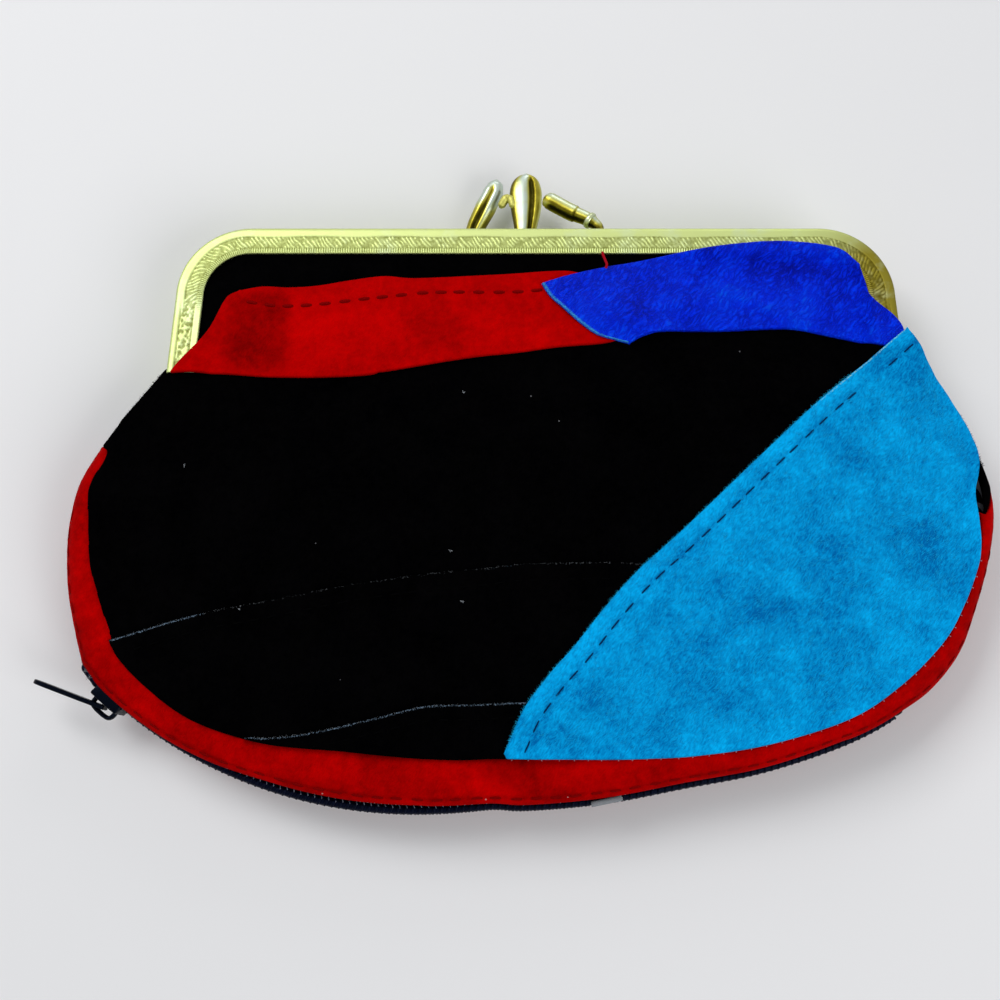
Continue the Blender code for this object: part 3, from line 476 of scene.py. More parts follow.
def patchHeight(name, x, y):  # top of a patch: the front's height plus what lies under it
    lap = frontShape["lap"]
    base = frontHeight(x, y)
    if name == "strip":
        return base
    if name == "main":
        over = overBar(x, y) * smoothStep((y - 24.0) / 5.0) * (x > 55.0)
        return base + np.maximum(8.35 - base, 0.0) * over
    if name == "red":
        inner = np.minimum(y - yOn("redFoot", x), yOn("redTop", x) - y)
        height = base + lap - 0.25 * smoothStep((inner - 4.5) / 3.0)
        over = smoothStep((-66.0 - x + 0.10 * (33.0 - y)) / 4.2) * smoothStep((y - 22.5) / 5.5)
        return height + np.maximum(8.55 - height, 0.0) * over
    if name == "blue":
        inside = fromBlue(x, y)
        height = base + lap + lap * (1 - smoothStep((inside - 7.5) / 6.0))
        puff = 0.5 * smoothStep((y - 37.0) / 8.0) * smoothStep((x - 20.0) / 18.0)
        height = height + puff
        cover = overBar(x, y) * smoothStep((x - 24.0) / 14.0)
        height = height + np.maximum(8.75 - height, 0.0) * cover
        return height - (height - 8.9) * smoothStep((36.0 - y) / 2.5) * smoothStep((x - 66.0) / 3.0)
    below = yOn("blackEdge", x) - y
    if name == "middle":
        return base + lap * (1 - 0.7 * smoothStep((below - 5.0) / 9.0))
    if name == "bottom":
        belowFoot = yOn("footEdge", x) - y
        return base + lap * (1.3 - 0.4 * smoothStep((belowFoot - 5.0) / 6.0))
    inside = fromTurquoise(x, y)
    lift = levelUnderTurquoise(x, y) * (1 - smoothStep((inside - 5.5) / 7.0))
    height = base + lift + lap * (1 - 0.5 * smoothStep((inside - 5.0) / 10.0))
    over = overBar(x, y) * smoothStep((y - 19.0) / 10.0) * smoothStep((82.6 - x) / 7.2)
    roll = smoothStep((skinShare(x, y) - 0.91) / 0.09) * smoothStep((y - 8.0) / 7.0) * (x > 60)
    height = height - 1.5 * roll * (1 - over)
    top = 8.7 + 1.2 * smoothStep((y - 29.5) / 3.0)
    return height + np.maximum(top - height, 0.0) * over


def coons(foot, head, left, right):
    # Patch between four lines: both ruled surfaces less the one through the corners
    u = np.linspace(0.0, 1.0, len(foot))[:, None, None]
    v = np.linspace(0.0, 1.0, len(left))[None, :, None]
    ruled = (1 - v) * foot[:, None] + v * head[:, None] + (1 - u) * left[None] + u * right[None]
    corners = ((1 - u) * (1 - v) * foot[0] + u * (1 - v) * foot[-1]
               + (1 - u) * v * head[0] + u * v * head[-1])
    return ruled - corners


def patchGrid(foot, head, left, right, columns, rows):
    sides = [curveThrough(side, 10) if len(side) < 40 else np.asarray(side, float)
             for side in (foot, head, left, right)]
    return coons(evenly(sides[0], columns), evenly(sides[1], columns),
                 evenly(sides[2], rows), evenly(sides[3], rows))


def layOn(name, plan, fine):  # top and underside of a patch, with a fine unevenness
    x, y = plan[..., 0], plan[..., 1]
    height = patchHeight(name, x, y) + fine * waves(x, y, 11, 10, 1.1, 5.0)
    top = atHeight(plan, height)
    return top, top - [0.0, 0.0, frontShape["suede"]]


def declareSheet(top):
    # Works out the size of the flat piece it was cut from, from the laid one; the sizes are not kept
    across = np.linalg.norm(np.diff(top, axis=1), axis=2).sum(1).mean()
    along = np.linalg.norm(np.diff(top, axis=0), axis=2).sum(0).mean()
    a = top[1:, :-1] - top[:-1, :-1]
    b = top[:-1, 1:] - top[:-1, :-1]
    c = top[1:, 1:] - top[:-1, 1:]
    d = top[1:, 1:] - top[1:, :-1]
    area = (np.linalg.norm(np.cross(a, b), axis=2).sum() + np.linalg.norm(np.cross(c, d), axis=2).sum()) / 2
    width, length = max(across, 10.5), max(along, 10.5)
    if area > width * length:
        width = area / length


print("helpers ready")


# Node helpers and shared effects

def putNode(tree, kind, inputs=None, **settings):
    node = tree.nodes.new(kind)
    for key, value in settings.items():
        setattr(node, key, value)
    for key, value in (inputs or {}).items():
        socket = node.inputs[key]
        if isinstance(value, bpy.types.NodeSocket):
            tree.links.new(value, socket)
        else:
            socket.default_value = value
    return node


def rampNode(tree, value, stops):
    node = putNode(tree, "ShaderNodeValToRGB", {"Fac": value})
    ramp = node.color_ramp
    while len(ramp.elements) < len(stops):
        ramp.elements.new(0.5)
    for element, (place, colour) in zip(ramp.elements, stops):
        element.position = place
        element.color = (*colour, 1.0) if len(colour) == 3 else colour
    return node.outputs["Color"]


def rangeNode(tree, value, fromMin=0.0, fromMax=1.0, toMin=0.0, toMax=1.0):
    return putNode(tree, "ShaderNodeMapRange", {"Value": value, "From Min": fromMin, "From Max": fromMax,
                                                "To Min": toMin, "To Max": toMax}).outputs[0]


def attributeNode(tree, name):
    return putNode(tree, "ShaderNodeAttribute", attribute_name=name).outputs["Fac"]


def mathNode(tree, operation, a, b=0.0, c=0.0):
    return putNode(tree, "ShaderNodeMath", {0: a, 1: b, 2: c}, operation=operation).outputs[0]


def mixNode(tree, share, a, b, blend="MIX"):
    return putNode(tree, "ShaderNodeMix", {0: share, 6: a, 7: b}, data_type="RGBA",
                   blend_type=blend).outputs[2]


def newGroup(name, inputs, outputs):
    # inputs: name -> (kind, value); outputs: name -> kind
    group = bpy.data.node_groups.new(name, "ShaderNodeTree")
    for key, (kind, value) in inputs.items():
        socket = group.interface.new_socket(key, in_out="INPUT", socket_type="NodeSocket" + kind)
        if kind != "Vector":
            socket.default_value = value
    for key, kind in outputs.items():
        group.interface.new_socket(key, in_out="OUTPUT", socket_type="NodeSocket" + kind)
    return group, group.nodes.new("NodeGroupInput").outputs, group.nodes.new("NodeGroupOutput")


def linkTo(tree, sockets, **values):  # links each value to the socket of that name
    for key, value in values.items():
        tree.links.new(value, sockets[key.replace("_", " ")])


def noiseIn(tree, place, scale, detail, rough=0.55, out="Fac", **settings):
    return putNode(tree, "ShaderNodeTexNoise", {"Vector": place, "Scale": scale, "Detail": detail,
                                                "Roughness": rough}, **settings).outputs[out]


def buildNap():
    # Suede: colour mottled by brushed nap, short fibres as height, pale lint specks
    tree, given, out = newGroup("suedeNap", {
        "Place": ("Vector", None), "Deep": ("Color", (0, 0, 0, 1)), "Brushed": ("Color", (1, 1, 1, 1)),
        "Lint": ("Color", (1, 1, 1, 1)), "LintShare": ("Float", 0.2), "FibreSize": ("Float", 1.0),
        "Streaks": ("Float", 0.3), "Tone": ("Float", 0.0), "Spread": ("Float", 1.0)},
        {"Color": "Color", "Roughness": "Float", "Height": "Float"})
    place = given["Place"]
    broad = noiseIn(tree, place, 95.0, 4.0, 0.6)
    swirl = noiseIn(tree, place, 620.0, 3.0, 0.6)
    warp = noiseIn(tree, place, 330.0, 2.0, 0.5, "Color")
    warp = putNode(tree, "ShaderNodeVectorMath", {0: warp, "Scale": 0.0016}, operation="SCALE").outputs[0]
    warped = putNode(tree, "ShaderNodeVectorMath", {0: place, 1: warp}, operation="ADD").outputs[0]
    stretched = putNode(tree, "ShaderNodeMapping", {"Vector": warped, "Rotation": (0, 0, 0.95),
                                                    "Scale": (3.4, 1.0, 1.0)},
                        vector_type="TEXTURE").outputs[0]
    fibreScale = mathNode(tree, "DIVIDE", 4200.0, given["FibreSize"])
    fibre = putNode(tree, "ShaderNodeTexNoise", {"Vector": stretched, "Scale": fibreScale, "Detail": 3.0}
                    ).outputs["Fac"]
    rest = mathNode(tree, "SUBTRACT", 1.0, given["Streaks"])
    plain = mathNode(tree, "MULTIPLY_ADD", broad, 0.58, mathNode(tree, "MULTIPLY", swirl, 0.42))
    mixed = mathNode(tree, "MULTIPLY_ADD", fibre, given["Streaks"],
                     mathNode(tree, "MULTIPLY", plain, rest))
    mixed = mathNode(tree, "SUBTRACT", mixed, 0.51)
    mixed = mathNode(tree, "MULTIPLY_ADD", mixed, given["Spread"], 0.51)
    mixed = mathNode(tree, "MULTIPLY_ADD", given["Tone"], 0.12, mixed)
    share = rangeNode(tree, mixed, 0.38, 0.64)
    colour = mixNode(tree, share, given["Deep"], given["Brushed"])
    cells = putNode(tree, "ShaderNodeTexVoronoi", {"Vector": place, "Scale": 900.0}, feature="F1")
    speck = mathNode(tree, "LESS_THAN", cells.outputs["Distance"], 0.16)
    chance = mathNode(tree, "LESS_THAN", putNode(tree, "ShaderNodeSeparateColor", {
        "Color": cells.outputs["Color"]}).outputs[0], given["LintShare"])
    patchy = mathNode(tree, "GREATER_THAN", noiseIn(tree, place, 160.0, 2.0), 0.52)
    lint = mathNode(tree, "MULTIPLY", mathNode(tree, "MULTIPLY", speck, chance), patchy)
    lint = mathNode(tree, "MULTIPLY", lint, 0.55)
    colour = mixNode(tree, lint, colour, given["Lint"])
    height = mathNode(tree, "ADD", mathNode(tree, "MULTIPLY", fibre, 0.6),
                      mathNode(tree, "MULTIPLY", swirl, 0.8))
    rough = rangeNode(tree, swirl, toMin=0.86, toMax=1.0)
    linkTo(tree, out.inputs, Color=colour, Roughness=rough, Height=height)
    return tree


def buildGrain():
    # Leather: small cells and fine slanting wrinkles as height, wrinkle tops as a mask
    tree, given, out = newGroup("leatherGrain", {
        "Place": ("Vector", None), "WrinkleSize": ("Float", 1.0)},
        {"Height": "Float", "Tops": "Float"})
    place = given["Place"]
    warp = noiseIn(tree, place, 260.0, 2.0, 0.5, "Color")
    moved = putNode(tree, "ShaderNodeVectorMath", {0: warp, 1: (0.5, 0.5, 0.5)},
                    operation="SUBTRACT").outputs[0]
    moved = putNode(tree, "ShaderNodeVectorMath", {0: moved, "Scale": 0.0022}, operation="SCALE").outputs[0]
    warped = putNode(tree, "ShaderNodeVectorMath", {0: place, 1: moved}, operation="ADD").outputs[0]
    turned = putNode(tree, "ShaderNodeMapping", {"Vector": warped, "Rotation": (0, 0, 0.90),
                                                 "Scale": (3.6, 1.0, 1.0)}, vector_type="TEXTURE").outputs[0]
    scale = mathNode(tree, "DIVIDE", 1150.0, given["WrinkleSize"])
    wrinkle = putNode(tree, "ShaderNodeTexNoise", {"Vector": turned, "Scale": scale, "Detail": 4.0,
                                                   "Roughness": 0.6}).outputs["Fac"]
    ridge = mathNode(tree, "ABSOLUTE", mathNode(tree, "MULTIPLY_ADD", wrinkle, 2.0, -1.0))
    ridge = mathNode(tree, "POWER", mathNode(tree, "SUBTRACT", 1.0, ridge), 3.0)
    cells = putNode(tree, "ShaderNodeTexVoronoi", {"Vector": warped, "Scale": 3000.0},
                    feature="DISTANCE_TO_EDGE").outputs["Distance"]
    cells = mathNode(tree, "MINIMUM", mathNode(tree, "MULTIPLY", cells, 3.0), 1.0)
    height = mathNode(tree, "SUBTRACT", mathNode(tree, "MULTIPLY", cells, 0.35), ridge)
    linkTo(tree, out.inputs, Height=height, Tops=mathNode(tree, "SUBTRACT", 1.0, ridge))
    return tree


def buildWeave():
    # Plain weave: warp and weft threads that pass over and under in turn
    tree, given, out = newGroup("plainWeave", {"Place": ("Vector", None), "Threads": ("Float", 3000.0)},
                               {"Height": "Float", "Shade": "Float"})
    scaled = putNode(tree, "ShaderNodeVectorMath",
                     {0: given["Place"], "Scale": given["Threads"]},
                     operation="SCALE").outputs[0]
    parts = putNode(tree, "ShaderNodeSeparateXYZ", {"Vector": scaled})
    turns = [mathNode(tree, "MULTIPLY", parts.outputs[k], 3.14159) for k in (0, 1)]
    half = [mathNode(tree, "ABSOLUTE", mathNode(tree, "SINE", turn)) for turn in turns]
    cell = [mathNode(tree, "FLOOR", parts.outputs[k]) for k in (0, 1)]
    odd = mathNode(tree, "MODULO", mathNode(tree, "ABSOLUTE", mathNode(tree, "ADD", cell[0], cell[1])), 2.0)
    over = mathNode(tree, "MULTIPLY", half[0], odd)
    under = mathNode(tree, "MULTIPLY", half[1], mathNode(tree, "SUBTRACT", 1.0, odd))
    height = mathNode(tree, "ADD", over, under)
    slub = noiseIn(tree, scaled, 0.35, 2.0)
    # Shade: darker where a thread passes under, painted shade, with slubs of random tone
    linkTo(tree, out.inputs, Height=height, Shade=mathNode(tree, "MULTIPLY_ADD", height, 0.4, slub))
    return tree


def buildWear():
    # Metal: tarnish in the hollows of the relief, rubbed highs, fine scratches, and a darkening towards the
    # frame's right corner
    tree, given, out = newGroup("giltWear", {
        "Place": ("Vector", None), "Relief": ("Float", 0.5), "Bright": ("Color", (1, 1, 1, 1)),
        "Dull": ("Color", (0, 0, 0, 1)), "Rubbed": ("Color", (1, 1, 1, 1))},
        {"Color": "Color", "Roughness": "Float", "Height": "Float"})
    place = given["Place"]
    blotch = noiseIn(tree, place, 110.0, 4.0, 0.6)
    fine = noiseIn(tree, place, 1700.0, 3.0, 0.6)
    raised = mathNode(tree, "MULTIPLY_ADD", mathNode(tree, "SUBTRACT", fine, 0.5), 0.9,
                      given["Relief"])
    share = rangeNode(tree, raised, 0.05, 0.75)
    colour = mixNode(tree, share, given["Dull"], given["Bright"])
    parts = putNode(tree, "ShaderNodeSeparateXYZ", {"Vector": place}).outputs
    # darker towards the frame's right corner
    rightCornerDarkening = rangeNode(tree, parts["X"], 0.054, 0.068)
    rightCornerDarkening = mathNode(tree, "MULTIPLY", rightCornerDarkening, rangeNode(tree, parts["Y"], 0.061, 0.053))
    colour = mixNode(tree, rightCornerDarkening, colour, (0.46, 0.34, 0.10, 1), "MULTIPLY")
    worn = rangeNode(tree, blotch, 0.50, 0.68)
    worn = mathNode(tree, "MULTIPLY", worn, share)
    colour = mixNode(tree, mathNode(tree, "MULTIPLY", worn, 0.65), colour, given["Rubbed"])
    streak = putNode(tree, "ShaderNodeMapping", {"Vector": place, "Scale": (0.15, 1.0, 1.0)}).outputs[0]
    scratch = noiseIn(tree, streak, 5200.0, 2.0)
    rough = rangeNode(tree, share, toMin=0.62, toMax=0.46)
    rough = mathNode(tree, "MULTIPLY_ADD", scratch, 0.12, rough)
    linkTo(tree, out.inputs, Color=colour, Roughness=rough, Height=mathNode(tree, "ADD", scratch, fine))
    return tree


napGroup, grainGroup, weaveGroup, wearGroup = buildNap(), buildGrain(), buildWeave(), buildWear()


def startMaterial(name):
    material = bpy.data.materials.new(name)
    material.use_nodes = True
    tree = material.node_tree
    shader = tree.nodes["Principled BSDF"]
    place = putNode(tree, "ShaderNodeTexCoord").outputs["Object"]
    return material, tree, shader, place


def setShader(shader, **values):
    for key, value in values.items():
        shader.inputs[key.replace("_", " ")].default_value = value


def bumpInto(tree, shader, height, strength, distance):
    bumped = putNode(tree, "ShaderNodeBump", {"Height": height, "Strength": strength, "Distance": distance})
    linkTo(tree, shader.inputs, Normal=bumped.outputs["Normal"])


def suedeMaterial(name, deep, brushed, lint, lintShare, fibreSize, streaks, spread, rawEdge, bumpStrength,
                  gloss=0.004, glossTint=(1.0, 1.0, 1.0)):
    # The relief attribute is 1 along a raw cut edge, which shows the undyed inside
    material, tree, shader, place = startMaterial(name)
    nap = putNode(tree, "ShaderNodeGroup", node_tree=napGroup)
    tree.links.new(place, nap.inputs["Place"])
    for key, value in (("Deep", (*deep, 1)), ("Brushed", (*brushed, 1)), ("Lint", (*lint, 1)),
                       ("LintShare", lintShare), ("FibreSize", fibreSize), ("Streaks", streaks),
                       ("Spread", spread)):
        nap.inputs[key].default_value = value
    tone = attributeNode(tree, "tone")
    tree.links.new(tone, nap.inputs["Tone"])
    edge = attributeNode(tree, "relief")
    patchy = noiseIn(tree, place, 3600.0, 2.0, 0.7)
    edge = rangeNode(tree, mathNode(tree, "MULTIPLY", edge, patchy), 0.44, 0.60)
    colour = mixNode(tree, edge, nap.outputs["Color"], (*rawEdge, 1))
    linkTo(tree, shader.inputs, Base_Color=colour, Roughness=nap.outputs["Roughness"])
    setShader(shader, Specular_IOR_Level=gloss, Specular_Tint=(*glossTint, 1))
    bumpInto(tree, shader, nap.outputs["Height"], bumpStrength, 0.00025)
    return material


blackSuede = suedeMaterial("blackSuede", (0.0001, 0.0001, 0.0002), (0.0011, 0.0010, 0.0012),
                           (0.16, 0.16, 0.17), 0.004, 1.0, 0.28, 1.0, (0.13, 0.19, 0.26), 0.35)
redSuede = suedeMaterial("redSuede", (0.170, 0.0001, 0.0002), (0.600, 0.0002, 0.0004),
                         (0.62, 0.30, 0.28), 0.002, 1.0, 0.22, 0.50, (0.46, 0.004, 0.008), 0.30, 0.04,
                         (1.0, 0.10, 0.10))
gussetSuede = suedeMaterial("gussetSuede", (0.180, 0.0001, 0.0002), (0.560, 0.0002, 0.0004),
                            (0.62, 0.34, 0.32), 0.004, 1.0, 0.26, 0.60, (0.40, 0.008, 0.010), 0.35, 0.04,
                            (1.0, 0.10, 0.10))
turquoiseSuede = suedeMaterial("turquoiseSuede", (0.0002, 0.120, 0.380), (0.0020, 0.450, 0.930),
                               (0.30, 0.55, 0.66), 0.0, 1.25, 0.42, 0.85, (0.34, 0.62, 0.52), 0.5, 0.04,
                               (0.0, 0.8, 1.0))


def blueMaterial():
    # Colour by wrinkle tops, lighter as a painted highlight with painted shade in the grooves, broad blotches
    # and the tone attribute; pale along the raw edge
    material, tree, shader, place = startMaterial("blueLeather")
    grain = putNode(tree, "ShaderNodeGroup", node_tree=grainGroup)
    tree.links.new(place, grain.inputs["Place"])
    broad = noiseIn(tree, place, 120.0, 3.0)
    fine = noiseIn(tree, place, 2600.0, 2.0)
    tone = attributeNode(tree, "tone")
    share = mathNode(tree, "MULTIPLY", broad, 0.45)
    # wrinkle tops lighter and grooves darker: painted highlight and painted shade
    share = mathNode(tree, "MULTIPLY_ADD", grain.outputs["Tops"], 0.42, share)
    share = mathNode(tree, "MULTIPLY_ADD", fine, 0.15, share)
    share = mathNode(tree, "MULTIPLY_ADD", tone, 0.20, share)
    colour = rampNode(tree, share, [(0.20, (0.0001, 0.0020, 0.34)), (0.42, (0.0001, 0.0160, 0.80)),
                                    (0.62, (0.0001, 0.0440, 1.00)), (0.92, (0.0020, 0.1300, 1.00))])
    edge = attributeNode(tree, "relief")
    patchy = noiseIn(tree, place, 2600.0, 2.0, 0.7)
    edge = rangeNode(tree, mathNode(tree, "MULTIPLY", edge, patchy), 0.15, 0.6)
    colour = mixNode(tree, edge, colour, (0.05, 0.36, 0.72, 1))
    linkTo(tree, shader.inputs, Base_Color=colour)
    rough = rangeNode(tree, fine, toMin=0.36, toMax=0.56)
    linkTo(tree, shader.inputs, Roughness=rough)
    setShader(shader, Specular_IOR_Level=0.30, Specular_Tint=(0.02, 0.20, 1.0, 1))
    bumpInto(tree, shader, grain.outputs["Height"], 1.0, 0.0004)
    return material


blueLeather = blueMaterial()


def clothMaterial(name, dark, light, threads, strength, roughness):
    material, tree, shader, _ = startMaterial(name)
    uv = putNode(tree, "ShaderNodeUVMap").outputs["UV"]
    weave = putNode(tree, "ShaderNodeGroup", node_tree=weaveGroup)
    tree.links.new(uv, weave.inputs["Place"])
    weave.inputs["Threads"].default_value = threads
    share = rangeNode(tree, weave.outputs["Shade"], 0.3, 1.1)
    linkTo(tree, shader.inputs, Base_Color=mixNode(tree, share, (*dark, 1), (*light, 1)))
    rough = rangeNode(tree, share, toMin=roughness + 0.1, toMax=roughness)
    linkTo(tree, shader.inputs, Roughness=rough)
    setShader(shader, Specular_IOR_Level=0.3, Sheen_Weight=0.05, Sheen_Roughness=0.4)
    bumpInto(tree, shader, weave.outputs["Height"], strength, 0.0001)
    return material


liningCloth = clothMaterial("liningCloth", (0.006, 0.006, 0.008), (0.028, 0.028, 0.034), 2200.0, 0.6, 0.7)
zipCloth = clothMaterial("zipCloth", (0.004, 0.005, 0.014), (0.016, 0.020, 0.052), 2600.0, 0.8, 0.7)


def giltMaterial(name, bright, dull, rubbed, readsRelief):
    material, tree, shader, place = startMaterial(name)
    wear = putNode(tree, "ShaderNodeGroup", node_tree=wearGroup)
    tree.links.new(place, wear.inputs["Place"])
    if readsRelief:
        relief = attributeNode(tree, "relief")
        tree.links.new(relief, wear.inputs["Relief"])
    else:
        wear.inputs["Relief"].default_value = 0.62
    for key, value in (("Bright", bright), ("Dull", dull), ("Rubbed", rubbed)):
        wear.inputs[key].default_value = (*value, 1)
    linkTo(tree, shader.inputs, Base_Color=wear.outputs["Color"])
    linkTo(tree, shader.inputs, Roughness=wear.outputs["Roughness"])
    setShader(shader, Metallic=1.0)
    bumpInto(tree, shader, wear.outputs["Height"], 0.12, 0.00008)
    return material


giltFrame = giltMaterial("giltFrame", (0.54, 0.61, 0.24), (0.21, 0.23, 0.055), (0.53, 0.61, 0.38), True)
giltPlain = giltMaterial("giltPlain", (0.60, 0.58, 0.16), (0.22, 0.19, 0.03), (0.64, 0.66, 0.36), False)


def claspMaterial():
    # Colour by the relief attribute, which on the clasp holds painted light: dark olive painted shade in the
    # hollows, yellow flanks, silvery painted highlights on the tops
    material, tree, shader, place = startMaterial("giltClasp")
    relief = attributeNode(tree, "relief")
    blotch = noiseIn(tree, place, 420.0, 3.0, 0.6)
    share = mathNode(tree, "MULTIPLY_ADD", mathNode(tree, "SUBTRACT", blotch, 0.5), 0.35, relief)
    colour = rampNode(tree, share, [(0.0, (0.018, 0.016, 0.002)), (0.30, (0.150, 0.120, 0.008)),
                                    (0.55, (0.460, 0.410, 0.055)), (0.78, (0.500, 0.530, 0.220)),
                                    (1.0, (0.540, 0.620, 0.540))])
    linkTo(tree, shader.inputs, Base_Color=colour)
    scuff = noiseIn(tree, place, 2600.0, 2.0)
    rough = rangeNode(tree, scuff, toMin=0.28, toMax=0.44)
    linkTo(tree, shader.inputs, Roughness=rough)
    setShader(shader, Metallic=1.0)
    bumpInto(tree, shader, scuff, 0.15, 0.00005)
    return material


giltClasp = claspMaterial()


def glossMaterial(name, deep, light, roughness, gloss, coat):
    material, tree, shader, place = startMaterial(name)
    blotch = noiseIn(tree, place, 700.0, 3.0)
    scuff = noiseIn(tree, place, 4200.0, 2.0)
    linkTo(tree, shader.inputs, Base_Color=mixNode(tree, blotch, (*deep, 1), (*light, 1)))
    rough = rangeNode(tree, scuff, toMin=roughness - 0.08, toMax=roughness + 0.12)
    linkTo(tree, shader.inputs, Roughness=rough)
    setShader(shader, Specular_IOR_Level=gloss, Coat_Weight=coat, Coat_Roughness=0.15,
              Specular_Tint=(0.35, 0.55, 1.0, 1))
    bumpInto(tree, shader, scuff, 0.15, 0.00005)
    return material


zipNylon = glossMaterial("zipNylon", (0.0010, 0.0012, 0.004), (0.003, 0.004, 0.016), 0.34, 0.06, 0.0)
blackEnamel = glossMaterial("blackEnamel", (0.0003, 0.0003, 0.0006), (0.0008, 0.0012, 0.004), 0.26, 0.06,
                            0.01)


def threadMaterial(name, dark, light, gloss=0.10):
    material, tree, shader, place = startMaterial(name)
    twist = putNode(tree, "ShaderNodeTexWave", {"Vector": place, "Scale": 2600.0, "Distortion": 1.0},
                    bands_direction="DIAGONAL").outputs["Fac"]
    # darker in the grooves of the twist: painted shade
    linkTo(tree, shader.inputs, Base_Color=mixNode(tree, twist, (*dark, 1), (*light, 1)))
    rough = rangeNode(tree, twist, toMin=0.8, toMax=0.6)
    linkTo(tree, shader.inputs, Roughness=rough)
    setShader(shader, Specular_IOR_Level=gloss)
    bumpInto(tree, shader, twist, 0.5, 0.0001)
    return material


redThread = threadMaterial("redThread", (0.130, 0.0001, 0.0002), (0.260, 0.0002, 0.0004), 0.02)
strayThread = threadMaterial("strayThread", (0.250, 0.0010, 0.0060), (0.500, 0.0040, 0.0200), 0.05)
pinkThread = threadMaterial("pinkThread", (0.400, 0.1200, 0.1600), (0.620, 0.3000, 0.3400), 0.05)
navyThread = threadMaterial("navyThread", (0.0006, 0.0080, 0.050), (0.0015, 0.026, 0.130), 0.03)
blackThread = threadMaterial("blackThread", (0.0001, 0.0001, 0.0002), (0.0008, 0.0008, 0.0010), 0.01)
# grey rods that paint highlights on the zip's coil
coilHighlightGrey = threadMaterial("coilHighlightGrey", (0.060, 0.070, 0.110), (0.260, 0.280, 0.340))
turquoiseFibre = threadMaterial("turquoiseFibre", (0.001, 0.300, 0.720), (0.030, 0.700, 1.000), 0.03)
paleFibre = threadMaterial("paleFibre", (0.130, 0.150, 0.170), (0.360, 0.380, 0.400))
blackFibre = threadMaterial("blackFibre", (0.0006, 0.0006, 0.0007), (0.004, 0.004, 0.005), 0.02)
redFibre = threadMaterial("redFibre", (0.180, 0.001, 0.001), (0.420, 0.003, 0.004))
print("materials ready")


# Patches of the front face

patchFineness = {"strip": (420, 30), "red": (360, 80), "blue": (280, 112), "turquoise": (244, 190),
                 "main": (280, 100), "mainUpper": (300, 34), "middle": (260, 80), "bottom": (180, 40),
                 "turquoiseTip": (90, 60)}


def offsetLine(name, side, count):  # a patch line moved sideways, to the right of its run
    line = evenly(lines[name], count)
    along = unit(np.gradient(line, axis=0))
    return line + side * np.column_stack([along[:, 1], -along[:, 0]])


def cutAt(line, y, keepAbove):  # the part of a rising line above or below a height
    x = np.interp(y, line[:, 1], line[:, 0])
    kept = line[line[:, 1] > y] if keepAbove else line[line[:, 1] < y]
    return np.vstack([[(x, y)], kept]) if keepAbove else np.vstack([kept, [(x, y)]])


def rawEdgeShare(kind, plan):  # 1 along a patch's raw edge, falling away within a fraction of a millimetre
    x, y = plan[..., 0], plan[..., 1]
    if kind == "blue":
        return bump(np.maximum(fromBlue(x, y), 0.0) / 0.30) * (x < 18.5)
    if kind == "turquoise":
        share = bump(np.maximum(fromTurquoise(x, y), 0.0) / 0.40)
        return share * (0.55 + 0.45 * smoothStep((y - 12.0) / 14.0))
    if kind == "middle":
        dusty = smoothStep((-60.0 - x) / 6.0) + 0.45 * bump((x + 38.0) / 9.0) + 0.75 * bump((x + 8.0) / 14.0)
        return bump(np.maximum(yOn("blackEdge", x) - y, 0.0) / 0.46) * np.clip(dusty, 0.05, 1.0)
    if kind == "bottom":
        return bump(np.maximum(yOn("footEdge", x) - y, 0.0) / 0.46) * 0.95
    if kind == "red":
        return 0.6 * bump(np.maximum(y - yOn("redFoot", x), 0.0) / 0.30)
    return np.zeros(x.shape)


def toneAndPaintedLightAt(kind, plan):  # darker below 0 and lighter above it: painted shade in creases and along the turquoise's stitch row, a painted highlight on a ridge of the blue, a smudge, random tone, and patch ends made darker and lighter
    x, y = plan[..., 0], plan[..., 1]
    tone = np.zeros(x.shape)
    if kind == "red":
        soft = smoothStep((x + 66.0) / 6.0) * smoothStep((-48.5 - x) / 4.0) * smoothStep((47.0 - y) / 5.0)
        tone = tone - 0.95 * soft * smoothStep((y - 24.0) / 8.0) + 0.15
        tone = tone - 0.25 * smoothStep((-62.0 - x) / 5.0)
        tone = tone + 0.20 * bump((x + 42.0) / 8.0) * bump((y - 36.0) / 6.0)
    if kind == "turquoise":
        # turquoise: darker along two creases, painted shade
        crease = curveThrough([(32.0, -28.0), (40.0, -22.8), (54.0, -20.8), (63.0, -26.5)], 6)
        tone = tone - 0.60 * bump(distanceTo(x, y, crease) / 2.6)
        crease = curveThrough([(58.0, -8.0), (66.0, -4.0), (76.0, -6.0)], 6)
        tone = tone - 0.35 * bump(distanceTo(x, y, crease) / 3.4)
        # random tone, and painted shade along the row of stitches
        tone = tone + 0.30 * waves(x, y, 77, 8, 6.0, 26.0) - 0.35 * bump((fromTurquoise(x, y) - 3.3) / 0.55)
        tone = tone + 0.35 * smoothStep((2.6 - fromTurquoise(x, y)) / 2.0)
        tone = tone - 0.35 * smoothStep((y - 24.0) / 8.0)
    if kind == "blue":
        # blue: lighter along a ridge, a painted highlight, and darker along a dip, painted shade
        crease = curveThrough([(36.0, 45.5), (44.0, 41.5), (54.0, 37.5)], 6)
        tone = tone + 0.50 * bump(distanceTo(x, y, crease) / 2.0)
        crease = curveThrough([(45.0, 51.5), (52.0, 50.0), (60.0, 48.5)], 6)
        tone = tone - 0.55 * bump(distanceTo(x, y, crease) / 1.6)
        tone = tone + 0.40 * smoothStep((39.0 - y) / 4.0) + 0.35 * smoothStep((16.0 - x) / 10.0)
        tone = tone + 0.25 * waves(x, y, 78, 6, 5.0, 18.0)
    return tone


